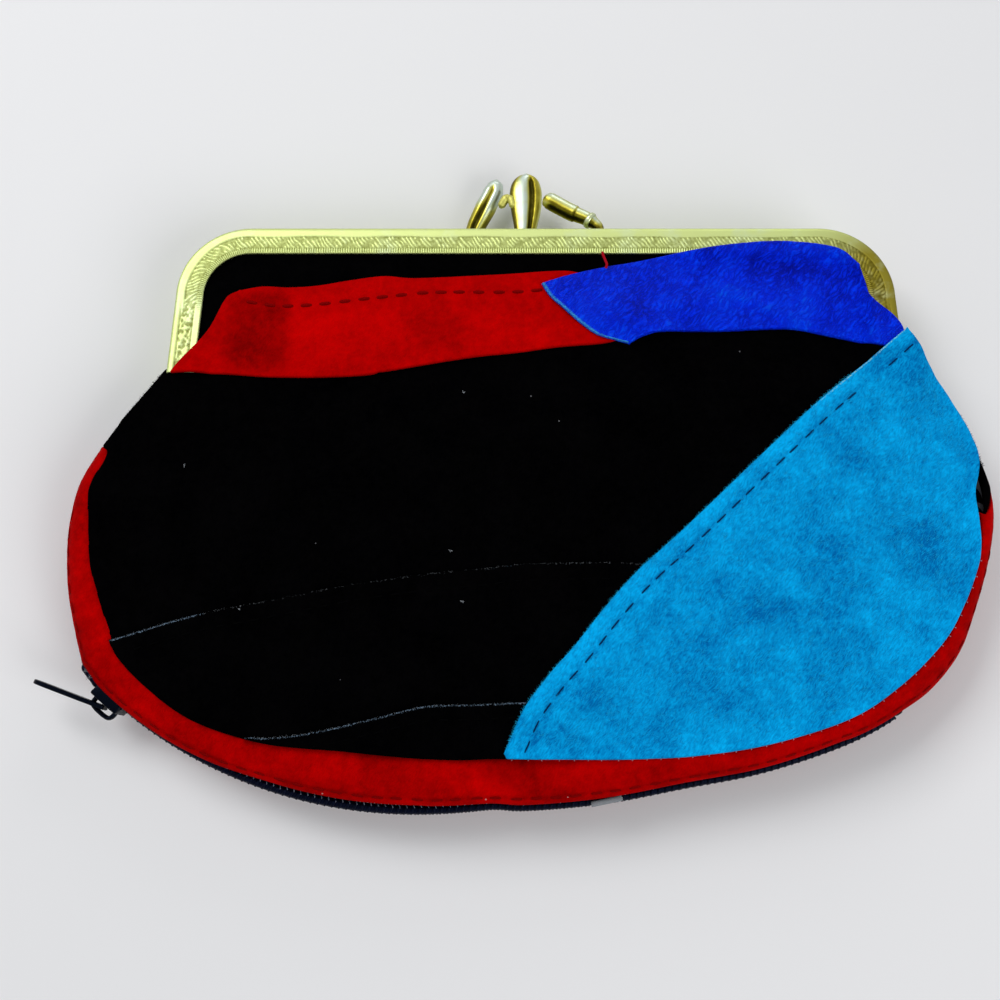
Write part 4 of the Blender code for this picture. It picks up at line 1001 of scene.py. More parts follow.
def makePatches():
    cut = bendRows["cut"]
    made = {}
    right = offsetLine("turquoiseLeft", 4.6, 120)
    tuck = lines["blackEdge"] - [0.0, 4.6]
    tuck = np.vstack([tuck[tuck[:, 0] < 24.0], [(24.0, np.interp(24.0, tuck[:, 0], tuck[:, 1]))]])

    plan = patchGrid([(-67.0, 33.6), (-65.2, 37.4), (-62.6, 40.2), (-56.0, 41.3), (-44.8, 41.5),
                      (-37.9, 42.8), (-24.2, 43.2), (-7.3, 44.1), (7.7, 45.2), (20.0, 46.4), (38.0, 48.5)],
                     np.vstack([barLine(0.2, 33.2)[::-1][:25], [(40.0, 56.35)]]),
                     [(-67.0, 33.6), (-69.6, 33.3), (-72.3, 33.2)],
                     [(38.0, 48.5), (39.0, 52.0), (40.0, 56.3)],
                     *patchFineness["strip"])
    made["blackTopStrip"] = ("strip", plan, blackSuede, "black_top_strip", "black_suede")

    plan = patchGrid(lines["redFoot"], lines["redTop"], lines["redLeft"],
                     [(17.0, 34.0), (16.0, 40.5), (14.0, 46.5)], *patchFineness["red"])
    made["redPatch"] = ("red", plan, redSuede, "red_patch", "red_suede")

    plan = patchGrid(lines["blueFoot"], lines["blueTop"], lines["blueLeft"], lines["blueRight"],
                     *patchFineness["blue"])
    made["bluePatch"] = ("blue", plan, blueLeather, "blue_patch", "blue_leather")

    lower = seamFrom((-83.4, -31.0), (-76.0, cut), 120)
    lower = np.vstack([lower[lower[:, 1] < cut - 0.2], [(-76.4, cut)]])
    foot = np.vstack([[lower[0]], tuck[tuck[:, 0] > lower[0][0] + 2.0]])
    side = right[(right[:, 1] > foot[-1][1] + 1.0) & (right[:, 1] < cut - 2.0)]
    side = np.vstack([[foot[-1]], side, [(68.2, cut)]])
    plan = patchGrid(foot, [(-76.4, cut), (0.0, cut), (68.2, cut)], lower, side, *patchFineness["main"])
    made["blackMainPatch"] = ("main", plan, blackSuede, "black_main_patch", "black_suede")

    head = [(-75.3, 28.4), (-73.0, 29.4), (-70.0, 29.8), (-66.4, 30.0), (-62.9, 30.6), (-52.8, 30.0),
            (-41.9, 30.0), (-30.5, 31.2), (-18.8, 33.2), (-11.2, 34.4), (-3.5, 35.3), (4.2, 36.6),
            (13.5, 37.6), (26.0, 39.4), (38.6, 39.8), (52.9, 40.2), (62.5, 38.9), (72.0, 36.2)]
    plan = patchGrid([(-76.4, cut), (0.0, cut), (68.2, cut)], head,
                     [(-76.4, cut), (-75.9, 27.6), (-75.3, 28.4)],
                     [(68.2, cut), (71.4, 30.6), (72.0, 36.2)], *patchFineness["mainUpper"])
    made["blackMainUpper"] = ("main", plan, blackSuede, "black_main_patch", "black_suede")

    left = seamFrom((-57.0, -45.4), (-83.4, -27.4), 80)
    head = np.vstack([[left[-1]], lines["blackEdge"][lines["blackEdge"][:, 0] > left[-1][0] + 0.6]])
    foot = np.vstack([[left[0]], [(-47.0, -47.0), (-40.0, -47.3), (-29.0, -46.2), (-19.7, -44.2),
                                  (-11.0, -44.2), (-2.0, -44.0), (4.2, -43.8)]])
    side = [(4.2, -43.8), (6.2, -37.0), (11.8, -29.0), (18.4, -21.4), head[-1]]
    plan = patchGrid(foot, head, left, side, *patchFineness["middle"])
    made["blackMiddlePatch"] = ("middle", plan, blackSuede, "black_middle_patch", "black_suede")

    foot = seamFrom((-56.4, -45.9), (0.5, -48.6), 80)
    head = lines["footEdge"]
    plan = patchGrid(foot, head, [foot[0], (foot[0] + head[0]) / 2, head[0]],
                     [foot[-1], (2.6, -44.0), head[-1]], *patchFineness["bottom"])
    made["blackBottomPatch"] = ("bottom", plan, blackSuede, "black_bottom_patch", "black_suede")

    leftLow = cutAt(lines["turquoiseLeft"], cut, False)
    leftHigh = cutAt(lines["turquoiseLeft"], cut, True)
    foot = seamFrom((-6.3, -48.3), (80.6, -24.0), 200)
    foot[0] = leftLow[0]
    bulge = curveThrough(frontShape["rightBulge"], 10)
    edge = np.vstack([seamFrom((80.6, -24.0), (86.7, -11.5), 120), bulge])
    edge[0] = foot[-1]
    edgeLow = cutAt(edge[np.argmax(edge[:, 1] > 0):], cut, False)
    edgeLow = np.vstack([edge[:np.argmax(edge[:, 1] > 0)], edgeLow])
    plan = patchGrid(foot, np.array([leftLow[-1], (leftLow[-1] + edgeLow[-1]) / 2, edgeLow[-1]]), leftLow,
                     edgeLow, *patchFineness["turquoise"])
    made["turquoisePatch"] = ("turquoise", plan, turquoiseSuede, "turquoise_patch", "turquoise_suede")
    edgeHigh = cutAt(bulge, cut, True)
    plan = patchGrid(np.array([leftHigh[0], (leftHigh[0] + edgeHigh[0]) / 2, edgeHigh[0]]),
                     [leftHigh[-1], (75.0, 35.9), edgeHigh[-1]], leftHigh, edgeHigh,
                     *patchFineness["turquoiseTip"])
    made["turquoiseTip"] = ("turquoise", plan, turquoiseSuede, "turquoise_patch", "turquoise_suede")

    upper = ("blackTopStrip", "redPatch", "bluePatch", "blackMainUpper", "turquoiseTip")
    for name, (kind, plan, material, node, slot) in made.items():
        fine = {"blue": 0.045, "turquoise": 0.05}.get(kind, 0.02)
        top, bottom = layOn(kind, plan, fine)
        edge, tone = rawEdgeShare(kind, plan), toneAndPaintedLightAt(kind, plan)
        piece = closedSheet(name, top, bottom, material, shade=edge, tone=tone)
        declareSheet(top)
        fasten(piece, blendAcrossFrame if name in upper else blendBelowHinge, slot, node)


makePatches()
print("patches laid")


# Frame bars

barFinish = {"stations": {"frontBar": 2200, "middleBar": 700, "backBar": 1300}, "strokePitch": 0.92,
             "rise": 0.15, "ribPitch": 0.50, "faceWall": 0.75, "faceEnd": 27.5, "earRadius": 3.0, "hole": 1.1}


def barRelief(run, across, y):
    # Pressed pattern on a bar's face, 0 to 1: smooth rim, broken slanting strokes, ribs inside;
    # on the arms the strokes become a rough bark between two smooth strips
    n = across
    jitter = 0.42 * waves(run, n * 0.5, 17, 9, 1.1, 7.0)
    phase = (run - n * 0.75) / barFinish["strokePitch"]
    broken = smoothStep(0.62 + 0.8 * waves(run * 0.9, n, 19, 10, 0.9, 3.6))
    stroke = 0.30 + 0.70 * smoothStep((np.sin(6.283 * (phase + jitter)) + 0.35) / 1.1) * broken
    rimStart = 0.62 + 0.10 * np.sin(run * 0.37)
    strokeBand = smoothStep((n + 1.75) / 0.25) * smoothStep((rimStart + 0.25 - n) / 0.45)
    rib = 0.25 + 0.75 * smoothStep((np.sin(6.283 * run / barFinish["ribPitch"]) + 0.4) / 1.2)
    ribBand = smoothStep((-1.70 - n) / 0.2) * smoothStep((n + 2.85) / 0.12)
    rimBand = 0.92 * smoothStep((n - rimStart) / 0.30)
    arm = smoothStep((44.0 - y) / 5.0)
    bark = 0.15 + 0.85 * smoothStep(0.5 + 0.95 * waves(run * 1.0, n * 1.5, 21, 12, 0.8, 3.0))
    barkBand = smoothStep((n + 1.35) / 0.25) * smoothStep((1.35 - n) / 0.25)
    outerStrip = smoothStep((n - 1.30) / 0.25)
    innerStrip = smoothStep((-1.35 - n) / 0.2)
    onTop = np.maximum.reduce([stroke * strokeBand, rib * ribBand, rimBand])
    onArm = np.maximum.reduce([bark * barkBand, innerStrip, outerStrip])
    return onTop * (1 - arm) + onArm * arm


def barSections(stations, low, high, side, armEnd, pattern):
    # Channel section (across, height) carried along the bar's line
    face = barShape["face"] / 2
    wall = barShape["wall"]
    line = evenly(barLine(0.0, armEnd, 60), stations)
    near = barLine(0.0, armEnd, 60)
    normals = barLine(1.0, armEnd, 60) - near
    run = runOf(near)
    at = np.linspace(0.0, run[-1], len(line))
    normal = unit(np.column_stack([np.interp(at, run, normals[:, k]) for k in range(2)]))
    bevel = 0.9
    turn = np.linspace(0.0, math.pi / 2, 6)
    corner = [(face - bevel + bevel * math.cos(a), high - bevel * 0.8 + bevel * 0.8 * math.sin(a))
              for a in turn]
    faceAcross = np.concatenate([np.linspace(face - bevel, 0.75, 8)[1:], np.linspace(0.75, -1.80, 14)[1:],
                                 np.linspace(-1.80, -face + 0.12, 7)[1:]])
    points = [(face, low + 0.5)] + corner + [(n, high) for n in faceAcross]
    points += [(-face, high - 0.14), (-face, high - wall), (face - wall, high - wall),
               (face - wall, low + wall), (-face, low + wall), (-face, low), (face - 0.4, low)]
    section = np.array(points)
    across = np.broadcast_to(section[:, 0], (len(line), len(section)))
    runs = np.broadcast_to(at[:, None], across.shape)
    x = line[:, None, 0] + normal[:, None, 0] * across
    y = line[:, None, 1] + normal[:, None, 1] * across
    relief = barRelief(runs, across, y)
    onFace = (np.arange(len(section)) >= 4) & (np.arange(len(section)) <= 6 + len(faceAcross))
    relief = np.where(onFace[None], relief, 0.75)
    heights = np.broadcast_to(section[:, 1], across.shape).copy()
    if pattern:
        heights = heights - np.where(onFace[None], (1 - relief) * barFinish["rise"], 0.0)
        heights = np.where(y < barShape["tongueEnd"], np.maximum(heights, high - barFinish["faceWall"]),
                           heights)
    z = midZ + side * heights
    return np.stack([x, y, z], -1), relief


def makeBars():
    outerLow, outerHigh = barShape["outer"]
    faceEnd = barFinish["faceEnd"]
    bars = (("frontBar", "front", "front_frame", outerLow, outerHigh, 1, faceEnd, True),
            ("middleBar", "middle", "middle_frame", *barShape["middle"], 1, barShape["armEnd"], False),
            ("backBar", "bag", "back_frame", outerLow, outerHigh, -1, faceEnd, True))
    for name, body, node, low, high, side, armEnd, pattern in bars:
        sections, relief = barSections(barFinish["stations"][name], low, high, side, armEnd, pattern)
        piece = sweptPiece(name, sections, giltFrame, shade=relief)
        fasten(piece, body, "gilt_brass", node)


def makeEars():
    # Hinge ears: a plate with a round end and a hole, its tail inside its bar
    steps = 48
    turn = circle(steps)
    for order, (name, body, low, high, side) in enumerate((
            ("backEars", "bag", *barShape["outer"], -1), ("middleEars", "middle", *barShape["middle"], 1),
            ("frontEars", "front", *barShape["outer"], 1))):
        start = 70.0 + order * 1.1
        radius = barFinish["earRadius"]
        # Outline in (y from the axis, height): the round end, drawn out to the tail above
        y = radius * np.cos(turn)
        h = radius * np.sin(turn)
        top = (turn < 1.15) | (turn > 2 * math.pi - 1.15)
        tailLow, tailHigh = side * (low + 0.4), side * (high - 0.4)
        share = np.where(turn <= math.pi, turn, turn - 2 * math.pi) / 1.15
        tailH = np.interp(share, [-1, 1], sorted((tailLow, tailHigh)))
        y = np.where(top, 6.0, y)
        h = np.where(top, tailH, h)
        outer = np.column_stack([y, h])
        hole = barFinish["hole"] * np.column_stack([np.cos(turn), np.sin(turn)])
        for hand in (-1, 1):
            loops = []
            for x, loop in ((start, outer), (start + 0.8, outer), (start + 0.8, hole), (start, hole)):
                loops.append(np.column_stack([np.full(steps, hand * x), hingeY + loop[:, 0],
                                              midZ + loop[:, 1]]))
            sections = np.array(loops)
            piece = sweptPiece(name + ("Right" if hand > 0 else "Left"), sections, giltPlain, closed=True)
            flatShade(piece, 40)
            fasten(piece, body, "gilt_brass")


def flatShade(piece, degrees):  # sharp edges where faces meet at more than this
    piece.data.set_sharp_from_angle(angle=math.radians(degrees))


def makeRivets():
    turn = circle(28)
    profile = np.array([(68.95, 0.0), (68.97, 0.7), (69.1, 1.3), (69.4, 1.75), (69.7, 1.8), (69.7, 0.8),
                        (73.3, 0.8), (73.3, 1.8), (73.6, 1.75), (73.86, 1.3), (74.0, 0.7), (74.02, 0.0)])
    for hand, side in ((-1, "left"), (1, "right")):
        x = np.broadcast_to(hand * profile[:, 0][:, None], (len(profile), len(turn)))
        y = hingeY + profile[:, 1][:, None] * np.cos(turn)
        z = midZ + profile[:, 1][:, None] * np.sin(turn)
        sections = np.stack([x, y, z], -1)
        piece = sweptPiece(side + "Rivet", sections[1:-1], giltPlain)
        flatShade(piece, 50)
        fasten(piece, "bag", "gilt_brass", side + "_hinge_rivet")


makeBars()
makeEars()
makeRivets()
print("frame made")


# Clasp

claspShape = {
    "seat": 59.1, "top": 74.5, "depth": 1.9,
    # (share of the way up, left edge, right edge)
    "centre": [(0.0, -4.1, 0.1), (0.10, -4.15, 0.25), (0.25, -4.4, 0.75), (0.42, -4.85, 1.35),
               (0.58, -5.15, 1.65), (0.72, -5.25, 1.70), (0.84, -4.9, 1.35), (0.92, -4.2, 0.75),
               (0.97, -3.3, -0.10), (1.0, -2.1, -1.3)],
}


def makeCentreProng():
    # A broad finger with a groove right of its middle
    stations = curveThrough(claspShape["centre"], 8)
    turn = circle(64)
    share = np.clip(stations[:, 0], 0.0, 1.0)
    y = claspShape["seat"] + (claspShape["top"] - claspShape["seat"]) * share
    middle, width = (stations[:, 1] + stations[:, 2]) / 2, (stations[:, 2] - stations[:, 1]) / 2
    depth = claspShape["depth"] * np.clip(width / 3.4, 0.25, 1.0) ** 0.6
    cos, sin = np.cos(turn), np.sin(turn)
    px = np.sign(cos) * np.abs(cos) ** 0.85
    pz = np.sign(sin) * np.abs(sin) ** 0.8
    along = smoothStep((share - 0.02) / 0.10) * smoothStep((0.96 - share) / 0.10)
    groove = bump((px[None] - 0.34) / 0.17) * (sin[None] > 0) * along[:, None]
    x = middle[:, None] + width[:, None] * px[None]
    z = midZ + depth[:, None] * (pz[None] - 0.45 * groove)
    sections = np.stack([x, np.broadcast_to(y[:, None], x.shape), z], -1)
    # Colour share, painted light: a painted highlight on the left lobe, the right lobe dimmer, painted shade
    # on the far left, in the groove and at the foot
    left = 0.62 + 0.42 * bump((px[None] + 0.12) / 0.42) - 0.40 * smoothStep((-0.55 - px[None]) / 0.4)
    right = 0.50 + 0.25 * smoothStep((px[None] - 0.78) / 0.2)
    shade = np.where(px[None] < 0.34, left, right) - 0.85 * groove
    shade = shade - 0.25 * smoothStep((0.25 - share)[:, None] / 0.2)
    piece = sweptPiece("middleProng", sections, giltClasp, shade=np.clip(shade, 0.0, 1.0))
    fasten(piece, "middle", "gilt_brass", "middle_clasp_prong")


def makeSideProng(name, body, node, path, radii, groovePlace, flatten, shadeAt):
    # A bent rod with one long groove; shadeAt(turn, share) gives its painted highlights and painted shade,
    # and the groove is painted darker as shade
    line = evenly(curveThrough(path, 16), 72)
    share = np.linspace(0, 1, 72)
    radius = np.interp(share, *np.array(radii).T)
    turn = circle(40)
    sections = tubeSections(line, radius, 40, flatten)
    centre = line[:, None]
    groove = bump((np.cos(turn) - groovePlace) / 0.24) * (np.sin(turn) > 0)
    along = smoothStep(share / 0.12) * smoothStep((0.93 - share) / 0.12)
    dent = 0.34 * groove[None] * along[:, None]
    sections = centre + (sections - centre) * (1 - dent)[..., None]
    shade = np.clip(shadeAt(turn[None], share[:, None]) - 2.6 * dent, 0, 1)
    piece = sweptPiece(name, sections, giltClasp, shade=shade)
    fasten(piece, body, "gilt_brass", node)


def makeCollar(name, body, centre, along, radius, tall):
    # Ring round a rod, square to its run
    along = unit(np.array(along, float))
    side = unit(np.cross(along, (0.0, 0.0, 1.0)))
    rise = np.cross(side, along)
    big = circle(30)[:, None, None]
    small = circle(12)[None, :, None]
    reach = radius + 0.35 * np.cos(small)
    places = centre + reach * (side * np.cos(big) + rise * np.sin(big)) + along * tall * np.sin(small)
    piece = sweptPiece(name, places, giltClasp, closed=True, shade=np.full(places.shape[:2], 0.85))
    fasten(piece, body, "gilt_brass")


def makeClasp():
    makeCentreProng()
    # Left: a stout rod, with painted silvery highlights at its tip and along its right side
    makeSideProng("backProng", "bag", "back_clasp_prong",
                  [(-14.7, 59.2, 4.2), (-13.8, 61.4, 4.5), (-12.4, 64.6, 5.0), (-10.6, 68.2, 5.5),
                   (-8.7, 72.2, 5.9), (-8.0, 74.9, 6.0)],
                  [(0.0, 1.35), (0.15, 1.6), (0.35, 2.05), (0.6, 2.3), (0.84, 2.15), (0.94, 1.6), (1.0, 0.4)],
                  -0.10, 0.85,
                  lambda turn, share: 0.30 + 0.75 * smoothStep((share - 0.40) / 0.4)
                  + 0.45 * bump((np.cos(turn) - 0.45) / 0.28) * (np.sin(turn) > 0)
                  + 0.15 * (np.cos(turn) < -0.5))
    # Right: a rod in two parts, the first stouter, with a ring and a dark round end: painted shade at its
    # foot by the bar and along one side, a painted highlight along the other, a dark joint between the parts
    makeSideProng("frontProng", "front", "front_clasp_prong",
                  [(13.6, 59.4, 13.2), (12.9, 61.0, 13.2), (10.8, 62.6, 12.9), (7.6, 64.3, 12.4),
                   (4.4, 66.3, 12.1), (2.7, 67.4, 12.0), (2.1, 67.8, 12.0)],
                  [(0.0, 1.15), (0.14, 1.20), (0.20, 1.45), (0.46, 1.62), (0.48, 1.82), (0.90, 1.85),
                   (0.97, 1.5), (1.0, 0.7)],
                  -0.9, 0.9,
                  lambda turn, share: 0.62 + 0.30 * bump((np.cos(turn) - 0.45) / 0.35) * (np.sin(turn) > 0)
                  - 0.35 * bump((share - 0.47) / 0.012) - 0.5 * smoothStep((0.12 - share) / 0.08)
                  - 0.35 * bump((np.cos(turn) + 0.35) / 0.2) * (np.sin(turn) > 0))
    makeCollar("frontProngCollar", "front", (11.6, 62.05, 13.05), (-2.1, 1.6, -0.3), 1.45, 0.6)
    makeCollar("backProngCollar", "bag", (-14.5, 60.0, 4.3), (0.7, 2.2, 0.4), 1.25, 0.5)
    # Spur: a bent link between the left rod's tip and the finger
    spur = evenly(curveThrough([(-7.3, 67.0, 8.6), (-6.4, 68.4, 9.3), (-5.6, 69.0, 9.7), (-4.9, 68.2, 9.9),
                                (-4.4, 66.4, 9.8)], 10), 40)
    thick = np.interp(np.linspace(0, 1, 40), [0, 0.1, 0.4, 0.52, 0.62, 0.9, 1],
                      [0.3, 0.85, 0.95, 0.6, 0.9, 0.8, 0.3])
    piece = sweptPiece("claspSpur", tubeSections(spur, thick, 16), giltPlain)
    fasten(piece, "middle", "gilt_brass")


makeClasp()
print("clasp made")


# Gussets and side pieces

gussetShape = {"stations": 700, "turns": 28, "mouthHeight": 3.6, "close": 9.0, "edgeHeight": 6.1,
               "suede": 1.0, "leftShare": 0.058, "leftSlant": 0.003, "rightShare": 0.921, "slant": 0.032,
               "zipStart": 0.218967, "zipEnd": 0.742,
               # (share of the run, how far the mouth's lip stays inside the soft edge)
               "lip": [(0.0, 0.5), (0.235, 0.7), (0.30, 1.1), (0.33, 1.7), (0.355, 2.05), (0.43, 2.05),
                       (0.45, 1.8), (0.475, 1.6), (0.50, 1.4), (0.60, 1.4), (0.66, 1.3), (0.70, 1.4),
                       (0.742, 1.1), (1.0, 1.0)]}
lipTable = curveThrough(gussetShape["lip"], 8)


def openness(share):  # 1 along the zip and 0 where the two gussets are sewn together
    close = gussetShape["close"] / outlineLength
    start, end = gussetShape["zipStart"], gussetShape["zipEnd"]
    return smoothStep((share - start + close) / close) * smoothStep((end + close - share) / close)


def gussetSurface(share, side, drop):
    # Quarter ellipse from under the panel's edge out to the mouth of the zip
    turn = np.concatenate([[-0.28, -0.12], np.linspace(0.0, math.pi / 2, gussetShape["turns"])])
    far, fall = np.sin(turn)[None], np.cos(turn)[None]
    tucked = (turn < 0)[None]
    share = share[:, None]
    share = (share - gussetShape["slant"] * smoothStep((share - 0.85) / 0.065) * fall ** 2
             + gussetShape["leftSlant"] * smoothStep((0.07 - share) / 0.03) * fall ** 2)
    band = bandAt(share)
    opened = openness(share)
    startOut = -band - 0.1
    lip = np.interp(share, lipTable[:, 0], lipTable[:, 1])
    endOut = -0.3 + (0.3 - lip) * opened - drop
    endHeight = 0.15 + (gussetShape["mouthHeight"] - 0.15) * opened
    run = share * outlineLength
    pucker = (0.10 * np.sin(run * 2 * math.pi / 3.4 + 1.6 * np.sin(run * 0.31))
              + 0.16 * np.sin(run * 2 * math.pi / 13.0 + 2.0))
    swell = np.sin(2 * np.clip(turn, 0, None))[None] * pucker
    stitchDip = -0.20 * bump((turn[None] - stitchTurn(share)) / 0.08)
    startHeight = gussetShape["edgeHeight"] - drop
    out = startOut + (endOut - startOut) * far
    height = endHeight + (startHeight - endHeight) * fall
    height = height - np.where(tucked, (np.abs(turn) * 2.6)[None], 0.0)
    out = np.where(tucked, startOut + turn[None] * 3.2, out)
    lift = (swell + stitchDip) * np.clip(band / 11.0, 0.2, 1.0)
    out = out + lift * far * 0.3
    height = height + lift * fall
    place, normal = rim(share)
    points = place + normal * out[..., None]
    return atHeight(points, side * height)


def stitchTurn(share):  # where the row of stitches lies on the band's curve
    return np.interp(bandAt(share), [3.5, 6.5, 10.5], [0.80, 0.98, 1.08])


def gussetRow(share, side, above):  # the line of the stitches
    surface = gussetSurface(share, side, -above)
    column = 2 + stitchTurn(share) / (math.pi / 2) * (gussetShape["turns"] - 1)
    low = np.floor(column).astype(int)
    part = (column - low)[:, None]
    k = np.arange(len(share))
    return surface[k, low] * (1 - part) + surface[k, low + 1] * part


def gussetToneAndShade(share, columns):  # painted shade along the stitches and by the panel's seam, over random tone
    turn = np.concatenate([[-0.28, -0.12], np.linspace(0.0, math.pi / 2, columns - 2)])[None]
    run = (share * outlineLength)[:, None]
    # random tone, less painted shade where the band comes out from under the panel's seam, then painted shade
    # along the stitches
    tone = 0.35 * waves(run, turn * 9.0, 61, 8, 4.0, 22.0) - 0.4 * bump(turn / 0.12)
    return tone - 0.45 * bump((turn - stitchTurn(share)[:, None]) / 0.10)


def makeGussets():
    share = np.linspace(gussetShape["leftShare"], gussetShape["rightShare"], gussetShape["stations"])
    for name, side, node in (("frontGusset", 1, "front_gusset"), ("backGusset", -1, "back_gusset")):
        top = gussetSurface(share, side, 0.0)
        bottom = gussetSurface(share, side, gussetShape["suede"])
        piece = closedSheet(name, top, bottom, gussetSuede, 0.2, tone=gussetToneAndShade(share, len(top[0])))
        declareSheet(top)
        fasten(piece, "bag", "red_suede", node)


sideShape = {"stations": 110, "columns": 48, "leftEnd": 0.071, "rightStart": 0.880, "slant": 0.013,
             "foldShares": (0.858, 0.93), "foldReach": 8.0}


def sideSurface(share, turn, drop):
    # Half ellipse from the front panel round to the back one, with soft pleats,
    # lower where it runs under the ends of the gussets
    band = bandAt(share)
    far, fall = np.sin(turn), np.cos(turn)
    leftTip = gussetShape["leftShare"] + gussetShape["leftSlant"] * fall ** 2
    rightTip = gussetShape["rightShare"] - gussetShape["slant"] * fall ** 2
    under = (smoothStep((share - leftTip + 0.0025) / 0.0025)
             * smoothStep((rightTip + 0.006 - share) / 0.006))
    drop = drop + 0.85 * under
    run = share * outlineLength
    pleat = 0.22 * np.sin(3 * turn) * np.sin(run * 0.35 + 0.6) + 0.10 * np.sin(7 * turn) * np.sin(run * 0.8)
    out = -band + (-0.2 - drop + band) * far + pleat * far
    height = (gussetShape["edgeHeight"] - drop) * fall
    place, normal = rim(share)
    points = place + normal * out[..., None]
    return atHeight(points, height)


def makeSides():
    rows, columns = sideShape["stations"], sideShape["columns"]
    along = np.linspace(0.0, 1.0, rows)[:, None]
    for name, hand, node in (("leftSide", -1, "left_side_piece"), ("rightSide", 1, "right_side_piece")):
        turn = np.linspace(0.0, math.pi, columns)[None] + 0 * along
        slant = sideShape["slant"] * np.cos(turn) ** 2
        if hand < 0:
            share = along * (sideShape["leftEnd"] + slant)
        else:
            start = sideShape["rightStart"]
            share = start + along * (1.0 - start)
            low = 1.05 * smoothStep((share - 0.900) / 0.030)
            turn = low + (math.pi - low) * turn / math.pi
        top = sideSurface(share, turn, 0.12)
        bottom = sideSurface(share, turn, 1.0)
        piece = closedSheet(name, top, bottom, blackSuede, 0.2)
        declareSheet(top)
        fasten(piece, "bag", "black_suede", node)


def makeRightFold():  # the black leather that shows between the turquoise edge and the red band
    share = np.linspace(*sideShape["foldShares"], 90)[:, None] + np.zeros((1, 14))
    across = np.linspace(0.0, 1.0, 14)[None]
    end = -bandAt(share) + 0.1
    out = -sideShape["foldReach"] + (end + sideShape["foldReach"]) * across
    place, normal = rim(share)
    wave = 0.12 * waves(share * outlineLength, across * 6.0, 12, 6, 2.0, 8.0)
    height = 4.2 + 0.5 * across + 0.3 * np.sin(math.pi * across) + wave
    top = atHeight(place + normal * out[..., None], height)
    piece = closedSheet("rightFold", top, top - [0.0, 0.0, 0.6], blackSuede, 0.15)
    declareSheet(top)
    fasten(piece, "bag", "black_suede")


makeGussets()
makeSides()
makeRightFold()
print("gussets made")


# Back panel, linings and inner walls

backShape = {"crown": 9.0, "edge": 6.1, "shoulder": 0.38}


def backHeight(x, y):  # flat where it rests, rolling up to its seam, with shallow slack
    share = skinShare(x, y)
    inward = smoothStep((1.0 - share) / backShape["shoulder"])
    height = backShape["edge"] + (backShape["crown"] - backShape["edge"]) * inward
    slack = 0.5 + 0.5 * waves(x, y, 31, 8, 10.0, 40.0)
    return height - 0.30 * np.clip(slack, 0, 1.4) * inward


def wholeFaceGrid(columns, rows):
    # The whole outline as four lines: foot seam, inside of the top bar, and the two sides
    neck = np.array([(69.0, 30.6), (69.0, 37.0), (71.8, 41.5)])
    bar = barLine(0.2, 42.0)
    left = np.vstack([seamFrom((-88.5, -8.0), (-76.0, 28.0), 120), neck * [-1, 1], bar[::-1][:14]])
    right = np.vstack([seamFrom((87.5, -8.0), (76.0, 28.0), 120), neck, bar[:14]])
    foot = seamFrom((-88.5, -8.0), (87.5, -8.0), 400)
    head = np.vstack([[left[-1]], bar[::-1][14:-14], [right[-1]]])
    return patchGrid(foot, head, left, right, columns, rows)


def makeBack():
    plan = wholeFaceGrid(211, 151)
    x, y = plan[..., 0], plan[..., 1]
    height = backHeight(x, y)
    seamY = -16.0 + 5.0 * np.sin(x / 40.0)  # one lapped seam across the back
    below = seamY - y
    height = height - 0.45 * bump((below + 0.9) / 0.7) - 0.25 * bump((below - 2.6) / 0.5)
    top = atHeight(plan, -height)
    piece = closedSheet("backPanel", top, top + [0.0, 0.0, 1.1], blackSuede, 0.3)
    declareSheet(top)
    fasten(piece, "bag", "black_suede", "back_panel")
    inner = (top + [0.0, 0.0, 1.35])[::3, ::3]
    piece = closedSheet("backLining", inner + [0.0, 0.0, 0.5], inner, liningCloth, 0.2,
                        uv=plan[::3, ::3] * mm)
    declareSheet(inner)
    fasten(piece, "bag", "lining_cloth", "back_lining")


def makeFrontLining():
    cut = bendRows["cut"]
    bar = barLine(0.0, 34.0)
    lower = patchGrid(seamFrom((-88.5, -8.0), (87.5, -8.0), 400), [(-75.0, cut), (0.0, cut), (75.0, cut)],
                      np.vstack([seamFrom((-88.5, -8.0), (-77.5, 25.0), 100), [(-75.0, cut)]]),
                      np.vstack([seamFrom((87.5, -8.0), (77.5, 25.0), 100), [(75.0, cut)]]), 120, 55)
    neck = np.array([(68.6, cut), (68.6, 36.5), (71.6, 41.0)])
    upper = patchGrid([(-68.6, cut), (0.0, cut), (68.6, cut)], bar[::-1][13:-13],
                      np.vstack([neck * [-1, 1], bar[::-1][1:14]]), np.vstack([neck, bar[1:14]]), 120, 30)
    for name, plan, nodes, bend in (
            ("frontLiningLower", lower, ("front_lining_lower",), blendBelowHinge),
            ("frontLiningUpper", upper, ("front_lining_fold", "front_lining_upper"), blendAcrossFrame)):
        top = atHeight(plan, frontHeight(plan[..., 0], plan[..., 1]) - 1.35)
        piece = closedSheet(name, top, top - [0.0, 0.0, 0.5], liningCloth, 0.2, uv=plan * mm)
        declareSheet(top)
        fasten(piece, bend, "lining_cloth", *nodes)


